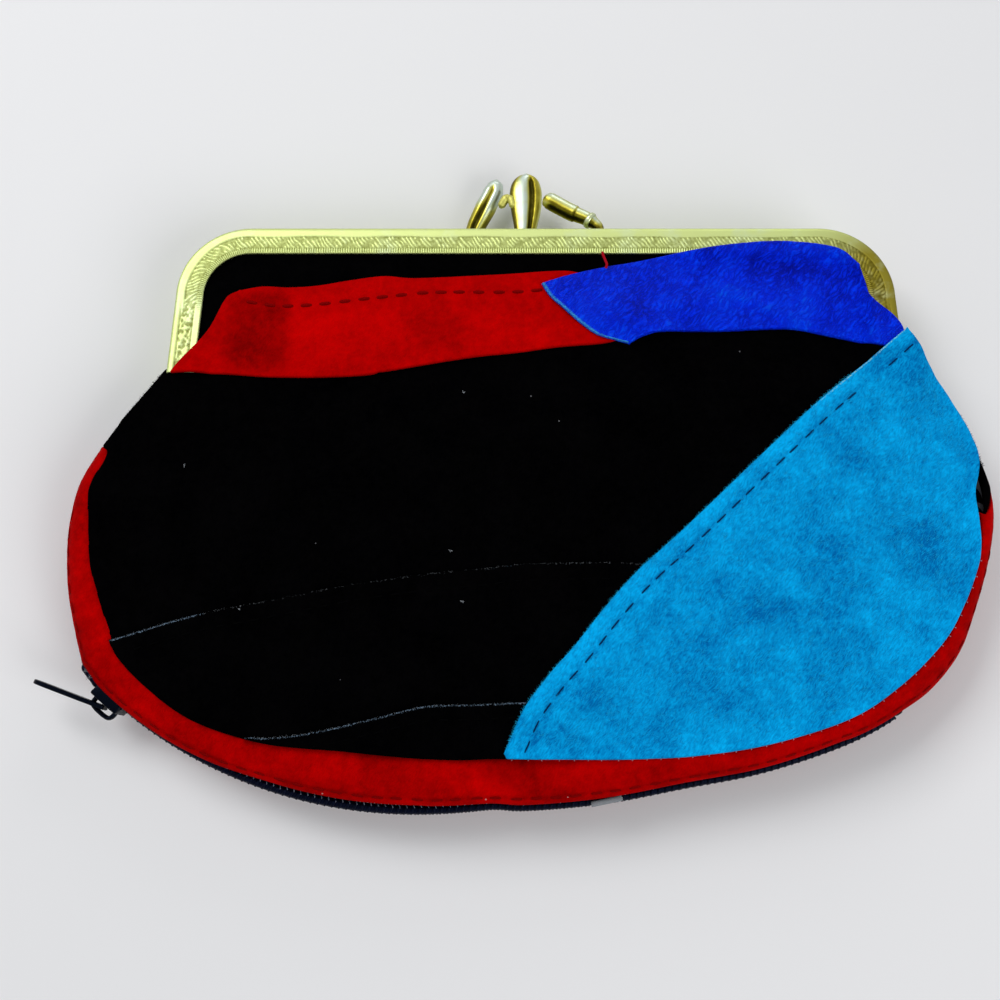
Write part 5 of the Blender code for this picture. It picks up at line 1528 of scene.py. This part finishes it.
def makeWalls():
    share = np.linspace(0.02, 0.98, 300)
    inner = rim(share, np.full(300, -3.3))[0]
    inner = inner[inner[:, 1] < 25.2]
    bar = barLine(0.0, 42.0)
    corner = np.argmin(np.abs(inner[:, 1] + 8.0) + (inner[:, 0] > 0) * 999)
    corner2 = np.argmin(np.abs(inner[:, 1] + 8.0) + (inner[:, 0] < 0) * 999)
    lower = patchGrid(inner[corner:corner2 + 1], [(-68.5, 28.2), (0.0, 28.2), (68.5, 28.2)],
                      np.vstack([inner[:corner + 1][::-1], [(-70.5, 25.6), (-68.5, 28.2)]]),
                      np.vstack([inner[corner2:], [(70.5, 25.6), (68.5, 28.2)]]), 80, 40)
    neck = np.array([(68.5, 29.8), (68.5, 37.0), (71.4, 41.5)])
    upper = patchGrid([(-68.5, 29.8), (0.0, 29.8), (68.5, 29.8)], bar[::-1][13:-13],
                      np.vstack([neck * [-1, 1], bar[::-1][:14]]), np.vstack([neck, bar[:14]]), 80, 20)
    for part, plan, body in (("Upper", upper, "middle"), ("Lower", lower, "bag")):
        for face, side in (("front", 1), ("back", -1)):
            ripple = 0.04 * waves(plan[..., 0], plan[..., 1], 8 if side > 0 else 9, 6, 12.0, 40.0)
            top, bottom = (atHeight(plan, side * height + ripple) for height in (0.72, 0.30))
            piece = closedSheet(face + "Wall" + part, top, bottom, liningCloth, 0.1, uv=plan * mm)
            declareSheet(top)
            fasten(piece, body, "lining_cloth", face + "_wall_" + part.lower())


makeBack()
makeFrontLining()
makeWalls()
print("back and linings made")


# Zip

zipShape = {"pitch": 1.4, "wire": 0.30, "reach": (0.72, 0.98), "middle": (-1.15, 1.05), "first": 0.2200,
        "last": 0.7410, "tapeOut": -2.6, "tapeThick": 0.45, "tape": (0.15, 3.3)}


def atRim(share, out, height):  # places at shares of the outline, outside it and above the middle plane
    return atHeight(rim(share, out)[0], np.asarray(height))


def makeCoils():
    first, last = zipShape["first"], zipShape["last"]
    length = (last - first) * outlineLength
    turns = int(length / zipShape["pitch"])
    count = turns * 14
    share = np.linspace(first, last, count)
    for side, name in ((1, "front"), (-1, "back")):
        spin = 2 * math.pi * turns * np.linspace(0, 1, count) + (0 if side > 0 else math.pi)
        out = zipShape["middle"][0] + zipShape["reach"][0] * np.cos(spin)
        height = side * (zipShape["middle"][1] + zipShape["reach"][1] * np.sin(spin))
        line = atRim(share, out, height)
        sections = tubeSections(line, zipShape["wire"], 6, up=(0.31, 0.17, 0.93))
        piece = sweptPiece(name + "Coil", sections, zipNylon)
        fasten(piece, "bag", "zip_nylon", name + "_zip_coil")
        cord = atRim(np.linspace(first, last, 260), np.full(260, zipShape["middle"][0]),
                     np.full(260, side * zipShape["middle"][1]))
        piece = sweptPiece(name + "CoilCord", tubeSections(cord, 0.86, 16), zipNylon)
        fasten(piece, "bag", "zip_cloth")


def makeTapes():
    share = np.linspace(0.2195, 0.7415, 420)
    height = np.linspace(*zipShape["tape"], 12)
    for side, name in ((1, "front"), (-1, "back")):
        wide = np.broadcast_to(height, (420, 12))
        wave = 0.06 * np.sin(share * outlineLength * 1.3)[:, None]
        along, out = share[:, None] + 0 * wide, zipShape["tapeOut"] + wave + 0 * wide
        top = atRim(along, out, side * wide)
        bottom = atRim(along, out - zipShape["tapeThick"], side * wide)
        uv = np.stack([np.broadcast_to((share * outlineLength)[:, None], wide.shape), wide], -1) * mm
        piece = closedSheet(name + "Tape", top, bottom, zipCloth, 0.15, uv=uv)
        fasten(piece, "bag", "zip_cloth", name + "_zip_tape")


def rodsBetween(name, starts, ends, radius, material):  # one thin five sided rod from each start to its end
    along = unit(ends - starts)
    side = unit(np.cross(along, (0.37, 0.21, 0.90)))
    other = np.cross(along, side)
    turn = circle(5)[None, :, None]
    ring = radius * (side[:, None] * np.cos(turn) + other[:, None] * np.sin(turn))
    shapes = np.concatenate([starts[:, None] + ring, ends[:, None] + ring, starts[:, None], ends[:, None]], 1)
    k = np.arange(5)
    quads = np.column_stack([k, (k + 1) % 5, 5 + (k + 1) % 5, 5 + k])
    fans = np.vstack([np.column_stack([(k + 1) % 5, k, np.full(5, 10)]),
                      np.column_stack([5 + k, 5 + (k + 1) % 5, np.full(5, 11)])])
    return manyOf(name, shapes, [quads, fans], material)


def makeCoilTicks():  # pale ticks along the coil: painted highlights where its turns catch the light, made as thin grey rods
    length = (zipShape["last"] - 0.226) * outlineLength
    share = 0.226 + np.arange(int(length / zipShape["pitch"])) * zipShape["pitch"] / outlineLength
    rng = np.random.default_rng(12)
    lean = 0.35 / outlineLength
    for side, name in ((1, "front"), (-1, "back")):
        starts = atRim(share, -2.15 + rng.uniform(-0.1, 0.1, len(share)), np.full(len(share), side * 1.75))
        ends = atRim(share + lean, -1.45 + rng.uniform(-0.15, 0.15, len(share)),
                     np.full(len(share), side * 2.08))
        piece = rodsBetween(name + "CoilTicks", starts, ends, 0.10, coilHighlightGrey)
        fasten(piece, "bag", "zip_nylon")


def roundedLoop(corners, radius):  # a closed polygon with its corners cut to arcs
    corners = np.asarray(corners, float)
    points = []
    for before, corner, after in zip(np.roll(corners, 1, axis=0), corners, np.roll(corners, -1, axis=0)):
        toBefore, toAfter = before - corner, after - corner
        cut = min(radius, 0.45 * np.linalg.norm(toBefore), 0.45 * np.linalg.norm(toAfter))
        a = corner + toBefore / np.linalg.norm(toBefore) * cut
        b = corner + toAfter / np.linalg.norm(toAfter) * cut
        for t in np.linspace(0, 1, 5):
            points.append((1 - t) ** 2 * a + 2 * t * (1 - t) * corner + t * t * b)
    return np.array(points)


sliderShape = {"turn": 229.6, "half": 3.25, "height": 3.4, "inner": 2.5, "reach": -2.1, "plate": (0.2, 1.2),
               "pivotOut": 1.95, "pullTurn": 159.6, "pullLength": 15.0, "pullHalf": 2.25, "pullThick": 0.9}


def onSlider(along, out, height):  # places beside the slider's middle, along the arc of the zip
    turn = sliderShape["turn"] + np.degrees(np.asarray(along) / outlineShape["arcRadius"])
    return atHeight(arcPoint(turn, out), np.asarray(height, float))


def makeSlider():
    s = sliderShape
    low, high = s["plate"]
    tall, inner, reach = s["height"], s["inner"], s["reach"]
    loop = roundedLoop([(reach, tall), (high, tall), (high, -tall), (reach, -tall), (reach, -inner),
                        (low, -inner), (low, inner), (reach, inner)], 0.42)
    along = np.array([-1.0, -0.985, -0.95, -0.9, -0.5, 0.0, 0.4, 0.7, 0.9, 0.95, 0.985, 1.0]) * s["half"]
    pinch = np.array([0.90, 0.95, 0.985, 1.0, 1.0, 1.0, 1.0, 0.99, 0.98, 0.965, 0.93, 0.88])
    out = loop[None, :, 0] + 0 * pinch[:, None]
    out = np.where(out > 0.6, 0.6 + (out - 0.6) * pinch[:, None] ** 3, out)
    height = loop[None, :, 1] * np.where(np.abs(loop[None, :, 1]) > 2.6, pinch[:, None] ** 0.5, 1.0)
    sections = onSlider(along[:, None] + 0 * out, out, height)
    piece = sweptPiece("sliderBody", sections, blackEnamel)
    fasten(piece, "slider", "black_enamel", "zip_slider")
    arch = evenly(curveThrough([(-2.4, 0.95), (-2.42, 2.1), (-2.0, 2.85), (-1.0, 3.07), (0.0, 3.1),
                                (1.0, 3.07), (2.0, 2.85), (2.42, 2.1), (2.4, 0.95)], 8), 48)
    line = onSlider(arch[:, 0], arch[:, 1], np.zeros(len(arch)))
    piece = sweptPiece("sliderBridge", tubeSections(line, 0.46, 20, 0.9 / 0.46), blackEnamel)
    fasten(piece, "slider", "black_enamel")
    share = np.linspace(0.2035, 0.2215, 28)
    size = np.interp(share, [0.2035, 0.2065, 0.2190, 0.2215], [0.2, 0.75, 1.0, 0.8])
    line = atRim(share, np.interp(share, [0.2035, 0.2215], [-0.1, -0.5]), 0.6 * size)
    piece = sweptPiece("zipStartStub", tubeSections(line, 1.05 * size, 18, 1.5), zipNylon)
    fasten(piece, "bag", "zip_nylon")


def makePull():
    # A flat tab, its eye closed round the slider's bridge; loops are (along, height)
    s = sliderShape
    pivot = arcPoint(s["turn"], s["pivotOut"])
    turn = math.radians(s["pullTurn"])
    along, across = np.array([math.cos(turn), math.sin(turn)]), np.array([-math.sin(turn), math.cos(turn)])
    half, end = s["pullHalf"], s["pullLength"]
    tip = np.linspace(-math.pi / 2, math.pi / 2, 12)
    outer = [(-0.32, 0.0), (-0.32, -1.8), (3.2, -1.8), (4.0, -half)]
    outer += [(end - half + half * math.cos(a), half * math.sin(a)) for a in tip]
    outer += [(4.0, half), (3.2, 1.8), (-0.32, 1.8)]
    window = [(0.28, 0.0), (0.28, -1.2), (3.3, -1.2), (3.3, 1.2), (0.28, 1.2)]
    loops = []
    for corners, radius in ((outer, 0.5), (window, 0.35)):
        loop = roundedLoop(corners[1:], radius)
        loop = np.vstack([[corners[0]], loop, [corners[0]]])
        loops.append(evenly(loop, 121)[:-1])
    outerLoop, windowLoop = loops
    centre = np.array([end / 2, 0.0])
    shrunk = centre + (outerLoop - centre) * [1 - 0.3 / end, 1 - 0.16 / half]
    wide = windowLoop + 0.10 * (windowLoop - windowLoop.mean(0)) / np.linalg.norm(
        windowLoop - windowLoop.mean(0), axis=1)[:, None]
    thick = s["pullThick"] / 2
    rings = []
    for loop, level in ((shrunk, thick), (outerLoop, thick - 0.14), (outerLoop, -thick + 0.14),
                        (shrunk, -thick), (wide, -thick), (windowLoop, -thick + 0.10),
                        (windowLoop, thick - 0.10), (wide, thick)):
        place = pivot + loop[:, :1] * along + level * across
        rings.append(np.column_stack([place, midZ + loop[:, 1]]))
    piece = sweptPiece("pullTab", np.array(rings), blackEnamel, closed=True)
    flatShade(piece, 40)
    fasten(piece, "pull", "black_enamel", "zip_pull")


def makeEndStop():  # a metal staple pressed over both tapes at the zip's far end
    start = gussetShape["zipEnd"] + 0.15 / outlineLength
    shares = start + np.array([0.0, 0.06, 0.2, 0.5, 0.8, 0.94, 1.0]) * 1.6 / outlineLength
    size = np.array([0.55, 0.82, 0.97, 1.0, 0.97, 0.82, 0.55])
    turn = circle(28)
    cos, sin = np.cos(turn), np.sin(turn)
    out = -1.15 + 1.10 * size[:, None] * (np.sign(cos) * np.abs(cos) ** 0.5)[None]
    height = 2.15 * size[:, None] * (np.sign(sin) * np.abs(sin) ** 0.5)[None]
    share = shares[:, None] + 0 * out
    place = rim(share, out - swellAt(share))[0]
    sections = atHeight(place, height)
    piece = sweptPiece("endStop", sections, blackEnamel)
    fasten(piece, "bag", "black_enamel", "zip_end_stop")


makeCoils()
makeTapes()
makeCoilTicks()
makeSlider()
makePull()
makeEndStop()
print("zip made")


# Stitches and loose fibres

def surfacePoints(kind, plan, above):  # places on a patch's top
    return atHeight(plan, patchHeight(kind, plan[:, 0], plan[:, 1]) + above)


def stitchRow(name, line, material, length, pitch, radius, jitter, arch=0.10):
    # Short bowed rods that dive into the leather at both ends
    rng = np.random.default_rng(5)
    run = runOf(line)
    centres = np.arange(pitch * 0.6, run[-1] - pitch * 0.3, pitch)
    centres = centres + rng.uniform(-jitter, jitter, len(centres))
    t = np.linspace(-1.0, 1.0, 7)
    at = centres[:, None] + t[None] * length / 2
    path = np.stack([np.interp(at, run, line[:, k]) for k in range(3)], -1)
    path[..., 2] += arch - (arch + radius * 1.6) * np.abs(t[None]) ** 3
    along = unit(path[:, -1:] - path[:, :1])
    across = unit(np.cross(along, (0.0, 0.0, 1.0)))
    rise = np.cross(across, along)
    a = circle(7)
    wide = radius * (1 - 0.55 * np.abs(t) ** 4)[None, :, None, None]
    ring = (across[:, :, None] * np.cos(a)[None, None, :, None]
            + rise[:, :, None] * np.sin(a)[None, None, :, None])
    places = path[:, :, None] + wide * ring
    shapes = places.reshape(len(centres), -1, 3)
    shapes = np.concatenate([shapes, path[:, :1], path[:, -1:]], 1)
    k = np.arange(7)
    end = 6 * 7
    fans = [np.column_stack([(k + 1) % 7, k, np.full(7, 49)]),
            np.column_stack([end + k, end + (k + 1) % 7, np.full(7, 50)])]
    return manyOf(name, shapes, [gridFaces(7, 7, closeColumns=True)[:, ::-1]] + fans, material)


def fibreTuft(name, roots, leans, material, lengths, width, seed):
    # Thin three sided cones that curl away from an edge
    rng = np.random.default_rng(seed)
    count = len(roots)
    lean = unit(leans + rng.normal(0, 0.45, (count, 3)))
    length = rng.uniform(*lengths, count)[:, None]
    side = unit(np.cross(lean, rng.normal(0, 1, (count, 3))))
    other = np.cross(lean, side)
    bend = (side * rng.uniform(-0.5, 0.5, (count, 1)) + other * rng.uniform(-0.5, 0.5, (count, 1))) * length
    rings = []
    for t, w in ((0.0, 1.0), (0.5, 0.75)):
        middle = roots + lean * length * t + bend * t * t
        for a in (0.0, 2.094, 4.189):
            rings.append(middle + width * w * (side * math.cos(a) + other * math.sin(a)))
    rings.append(roots + lean * length + bend)
    shapes = np.stack(rings, 1)
    quads = np.array([(0, 1, 4, 3), (1, 2, 5, 4), (2, 0, 3, 5)])
    triangles = np.array([(3, 4, 6), (4, 5, 6), (5, 3, 6), (2, 1, 0)])
    return manyOf(name, shapes, [quads, triangles], material)


def alongLine(name, count, seed):
    # Random places along a patch line, and the direction out of the patch to its left
    rng = np.random.default_rng(seed)
    line = evenly(lines[name], 800)
    along = unit(np.gradient(line, axis=0))
    left = np.column_stack([-along[:, 1], along[:, 0]])
    pick = rng.integers(6, 794, count)
    return line[pick], np.column_stack([left[pick], np.zeros(count)])


def makeStitches():
    redRow = curveThrough([(-60.4, 42.3), (-58.9, 42.2), (-53.9, 41.2), (-49.3, 40.9), (-44.0, 41.2),
                           (-36.0, 42.3), (-29.5, 43.1), (-22.8, 43.8), (-16.1, 44.0), (-9.6, 44.0),
                           (-2.8, 44.2), (4.0, 44.9)], 12)
    piece = stitchRow("redStitches", surfacePoints("red", redRow, -0.02), redThread, 3.1, 3.9, 0.34, 0.25)
    fasten(piece, blendAcrossFrame, "red_suede")
    inside = offsetLine("turquoiseLeft", 3.3, 300)
    for part, keep, bend in (("Lower", inside[:, 1] < bendRows["cut"] - 1.6, blendBelowHinge),
                             ("Upper", inside[:, 1] > bendRows["cut"] + 0.6, blendAcrossFrame)):
        row = inside[keep]
        piece = stitchRow("navyStitches" + part, surfacePoints("turquoise", row, 0.03), navyThread, 3.0, 4.2,
                          0.15, 0.35)
        fasten(piece, bend, "turquoise_suede")
    for name, edge, kind, below, span, length, pitch in (
            ("blackStitches", "blackEdge", "middle", 3.0, (-80.0, 14.5), 2.4, 3.4),
            ("footStitches", "footEdge", "bottom", 2.6, (-45.0, -3.5), 2.3, 3.2)):
        line = lines[edge] - [0.0, below]
        line = line[(line[:, 0] > span[0]) & (line[:, 0] < span[1])]
        piece = stitchRow(name, surfacePoints(kind, line, -0.02), blackThread, length, pitch, 0.20, 0.2)
        fasten(piece, blendBelowHinge, "black_suede")
    share = np.linspace(0.10, 0.88, 1200)
    for name, side, arch in (("gussetStitches", 1, 0.05), ("backGussetStitches", -1, 0.0)):
        piece = stitchRow(name, gussetRow(share, side, -0.02), redThread, 2.9, 3.8, 0.24, 0.2, arch)
        fasten(piece, "bag", "red_suede")


def makeFibres():
    below, across = blendBelowHinge, blendAcrossFrame
    for name, line, kind, material, count, lengths, bend, rows in (
            ("turquoiseEdgeFibres", "turquoiseLeft", "turquoise", turquoiseFibre, 2600, (0.25, 1.0), below,
             (-60, 26.5)),
            ("blackEdgeFibres", "blackEdge", "middle", paleFibre, 1500, (0.15, 0.6), below, (-60, 26)),
            ("footEdgeFibres", "footEdge", "bottom", paleFibre, 900, (0.15, 0.55), below, (-60, 26)),
            ("redEdgeFibres", "redFoot", "red", redFibre, 1200, (0.12, 0.5), across, (0, 60))):
        place, lean = alongLine(line, count, 40)
        keep = (place[:, 1] > rows[0]) & (place[:, 1] < rows[1])
        place, lean = place[keep], lean[keep]
        if line == "redFoot":
            lean = -lean
        x, y = place[:, 0] - lean[:, 0] * 0.1, place[:, 1] - lean[:, 1] * 0.1
        z = midZ + patchHeight(kind, x, y) - np.random.default_rng(3).uniform(0.05, 0.8, len(x))
        piece = fibreTuft(name, np.column_stack([x, y, z]), lean + [0, 0, 0.35], material, lengths, 0.035, 50)
        fasten(piece, bend, "black_suede" if kind in ("middle", "bottom") else kind + "_suede")


def makeNap():  # brushed fibres that lie on the turquoise suede, most of them up to the right
    rng = np.random.default_rng(21)
    x, y = rng.uniform(-6.0, 88.0, 60000), rng.uniform(-50.0, 25.8, 60000)
    keep = (fromTurquoise(x, y) > 0.3) & (skinShare(x, y) < 0.975)
    x, y = x[keep][:15000], y[keep][:15000]
    turn = np.radians(48.0 + 20.0 * waves(x, y, 23, 6, 7.0, 30.0)) + rng.normal(0, 0.35, len(x))
    roots = np.column_stack([x, y, midZ + patchHeight("turquoise", x, y) - 0.02])
    leans = np.column_stack([np.cos(turn), np.sin(turn), np.full(len(x), 0.10)]) * 4.0
    piece = fibreTuft("turquoiseNap", roots, leans, turquoiseFibre, (0.5, 1.3), 0.026, 51)
    fasten(piece, blendBelowHinge, "turquoise_suede")


def makeHairs():
    # Loose hairs along the black sides, frayed thread at the zip's start, one stray red thread
    rng = np.random.default_rng(31)
    for name, shares, count in (("leftHairs", (0.0, 0.037), 1000), ("rightHairs", (0.925, 0.995), 500)):
        share, turn = rng.uniform(*shares, count)[:, None], rng.uniform(0.75, 1.57, count)[:, None]
        roots = sideSurface(share, turn, 0.15)[:, 0]
        leans = np.column_stack([rim(share[:, 0])[1], np.full(count, 0.5)])
        piece = fibreTuft(name, roots, leans, blackFibre, (0.2, 0.75), 0.05, 32)
        fasten(piece, "bag", "black_suede")
    share = rng.uniform(0.209, 0.2175, 46)
    place, normal = rim(share, -0.9)
    roots = np.column_stack([place, midZ + rng.uniform(-0.6, 2.4, 46)])
    leans = np.column_stack([normal * 0.8 + rng.normal(0, 0.25, (46, 2)), np.full(46, 0.35)])
    piece = fibreTuft("frayedThread", roots, leans, paleFibre, (0.9, 2.2), 0.06, 33)
    fasten(piece, "bag", "red_suede")
    spots = np.array([(-14.7, 22.6), (-70.1, 7.9), (-17.0, -9.5), (-14.5, -19.7), (-57.5, -21.2)])
    spots = np.repeat(spots, 5, axis=0) + rng.uniform(-0.12, 0.12, (25, 2))
    roots = surfacePoints("main", spots, 0.05)
    roots[spots[:, 1] < -15.0, 2] += frontShape["lap"]
    leans = rng.uniform(-1, 1, (25, 3)) * [3, 3, 0.3]
    piece = fibreTuft("lintSpecks", roots, leans, paleFibre, (0.25, 0.6), 0.09, 34)
    fasten(piece, blendBelowHinge, "black_suede")
    line = np.array([(10.2, -57.75, 11.3), (11.0, -57.6, 11.6), (13.4, -57.1, 11.7), (15.4, -56.7, 11.6),
                     (16.0, -56.5, 11.3)])
    line = curveThrough(line, 6)
    piece = sweptPiece("whiteTapeEnd", tubeSections(line, 0.55, 12, 0.45), paleFibre)
    fasten(piece, "bag", "zip_cloth")
    line = curveThrough([(13.7, 52.5, 18.5), (13.8, 51.7, 18.75), (14.2, 50.6, 18.8), (14.5, 49.6, 18.9),
                         (14.3, 48.9, 18.7)], 6)
    piece = sweptPiece("strayThread", tubeSections(line, 0.28, 7), strayThread)
    fasten(piece, "front", "red_suede")
    share = np.arange(0.50, 0.862, 2.9 / outlineLength)
    share = share + rng.uniform(-0.001, 0.001, len(share))
    starts, ends = (np.column_stack([rim(share, -bandAt(share) + shift)[0], np.full(len(share), midZ + rise)])
                    for shift, rise in ((0.15, 6.15), (0.55, 6.12)))
    piece = rodsBetween("seamStitches", starts, ends, 0.11, pinkThread)
    fasten(piece, "bag", "red_suede")


makeStitches()
makeFibres()
makeNap()
makeHairs()
print("stitches made")


# Floor, light and camera

stageShape = {"floor": (0.80, 0.80, 0.81), "lens": 46.8, "place": (-0.00732, -0.05697, 0.26678),
              "aim": (-0.00732, 0.00231, 0.010)}


def makeStage():
    floor = addPiece("floor", [(-3000, -3000, -0.05), (3000, -3000, -0.05), (3000, 3000, -0.05),
                               (-3000, 3000, -0.05)], [np.array([(0, 1, 2, 3)])], stageMaterial(),
                     outwards=False)
    world = bpy.data.worlds.new("studio")
    bpy.context.scene.world = world
    world.use_nodes = True
    tree = world.node_tree
    background = tree.nodes["Background"]
    background.inputs["Color"].default_value = (0.95, 0.97, 1.0, 1)
    path = putNode(tree, "ShaderNodeLightPath").outputs
    seen = mathNode(tree, "MAXIMUM", path["Is Camera Ray"],
                    mathNode(tree, "MAXIMUM", path["Is Glossy Ray"], path["Is Transmission Ray"]))
    tree.links.new(mathNode(tree, "MULTIPLY_ADD", seen, 0.42, 0.34), background.inputs["Strength"])
    for name, place, size, power in (("keyLight", (-0.40, 0.36, 0.62), 0.42, 3.5),
                                     ("fillLight", (0.48, -0.42, 0.55), 0.5, 3.0),
                                     ("rimLight", (0.15, 0.70, 0.30), 0.3, 0.6)):
        lamp = bpy.data.lights.new(name, "AREA")
        lamp.energy = power
        lamp.size = size
        holder = bpy.data.objects.new(name, lamp)
        holder.location = place
        holder.rotation_euler = (-Vector(place)).to_track_quat("-Z", "Y").to_euler()
        bpy.context.scene.collection.objects.link(holder)


def stageMaterial():
    material, tree, shader, place = startMaterial("paleFloor")
    cloudy = noiseIn(tree, place, 6.0, 3.0)
    tone = stageShape["floor"]
    tree.links.new(mixNode(tree, cloudy, (*[c * 0.97 for c in tone], 1), (*tone, 1)),
                   shader.inputs["Base Color"])
    shader.inputs["Roughness"].default_value = 0.8
    setShader(shader, Specular_IOR_Level=0.2)
    # Far from the object, where the lamps fade, the camera sees the floor's own pale colour
    reach = putNode(tree, "ShaderNodeVectorMath", {0: place}, operation="LENGTH").outputs["Value"]
    far = putNode(tree, "ShaderNodeMapRange", {"Value": reach, "From Min": 0.30, "From Max": 1.1},
                  interpolation_type="SMOOTHSTEP").outputs[0]
    seen = putNode(tree, "ShaderNodeLightPath").outputs["Is Camera Ray"]
    glow = putNode(tree, "ShaderNodeEmission", {"Color": (0.70, 0.715, 0.735, 1), "Strength": 1.0}).outputs[0]
    mixed = putNode(tree, "ShaderNodeMixShader", {0: mathNode(tree, "MULTIPLY", far, seen),
                                                  1: shader.outputs[0], 2: glow})
    output = [node for node in tree.nodes if node.type == "OUTPUT_MATERIAL"][0]
    tree.links.new(mixed.outputs[0], output.inputs["Surface"])
    return material


def makeCamera():
    camera = bpy.data.cameras.new("camera")
    camera.lens = stageShape["lens"]
    camera.sensor_width = 36.0
    camera.clip_start = 0.01
    holder = bpy.data.objects.new("camera", camera)
    holder.location = stageShape["place"]
    aim = Vector(stageShape["aim"]) - Vector(stageShape["place"])
    holder.rotation_euler = aim.to_track_quat("-Z", "Y").to_euler()
    bpy.context.scene.collection.objects.link(holder)
    bpy.context.scene.camera = holder


makeStage()
makeCamera()
bpy.context.scene.view_settings.view_transform = "Standard"
print("stage made")
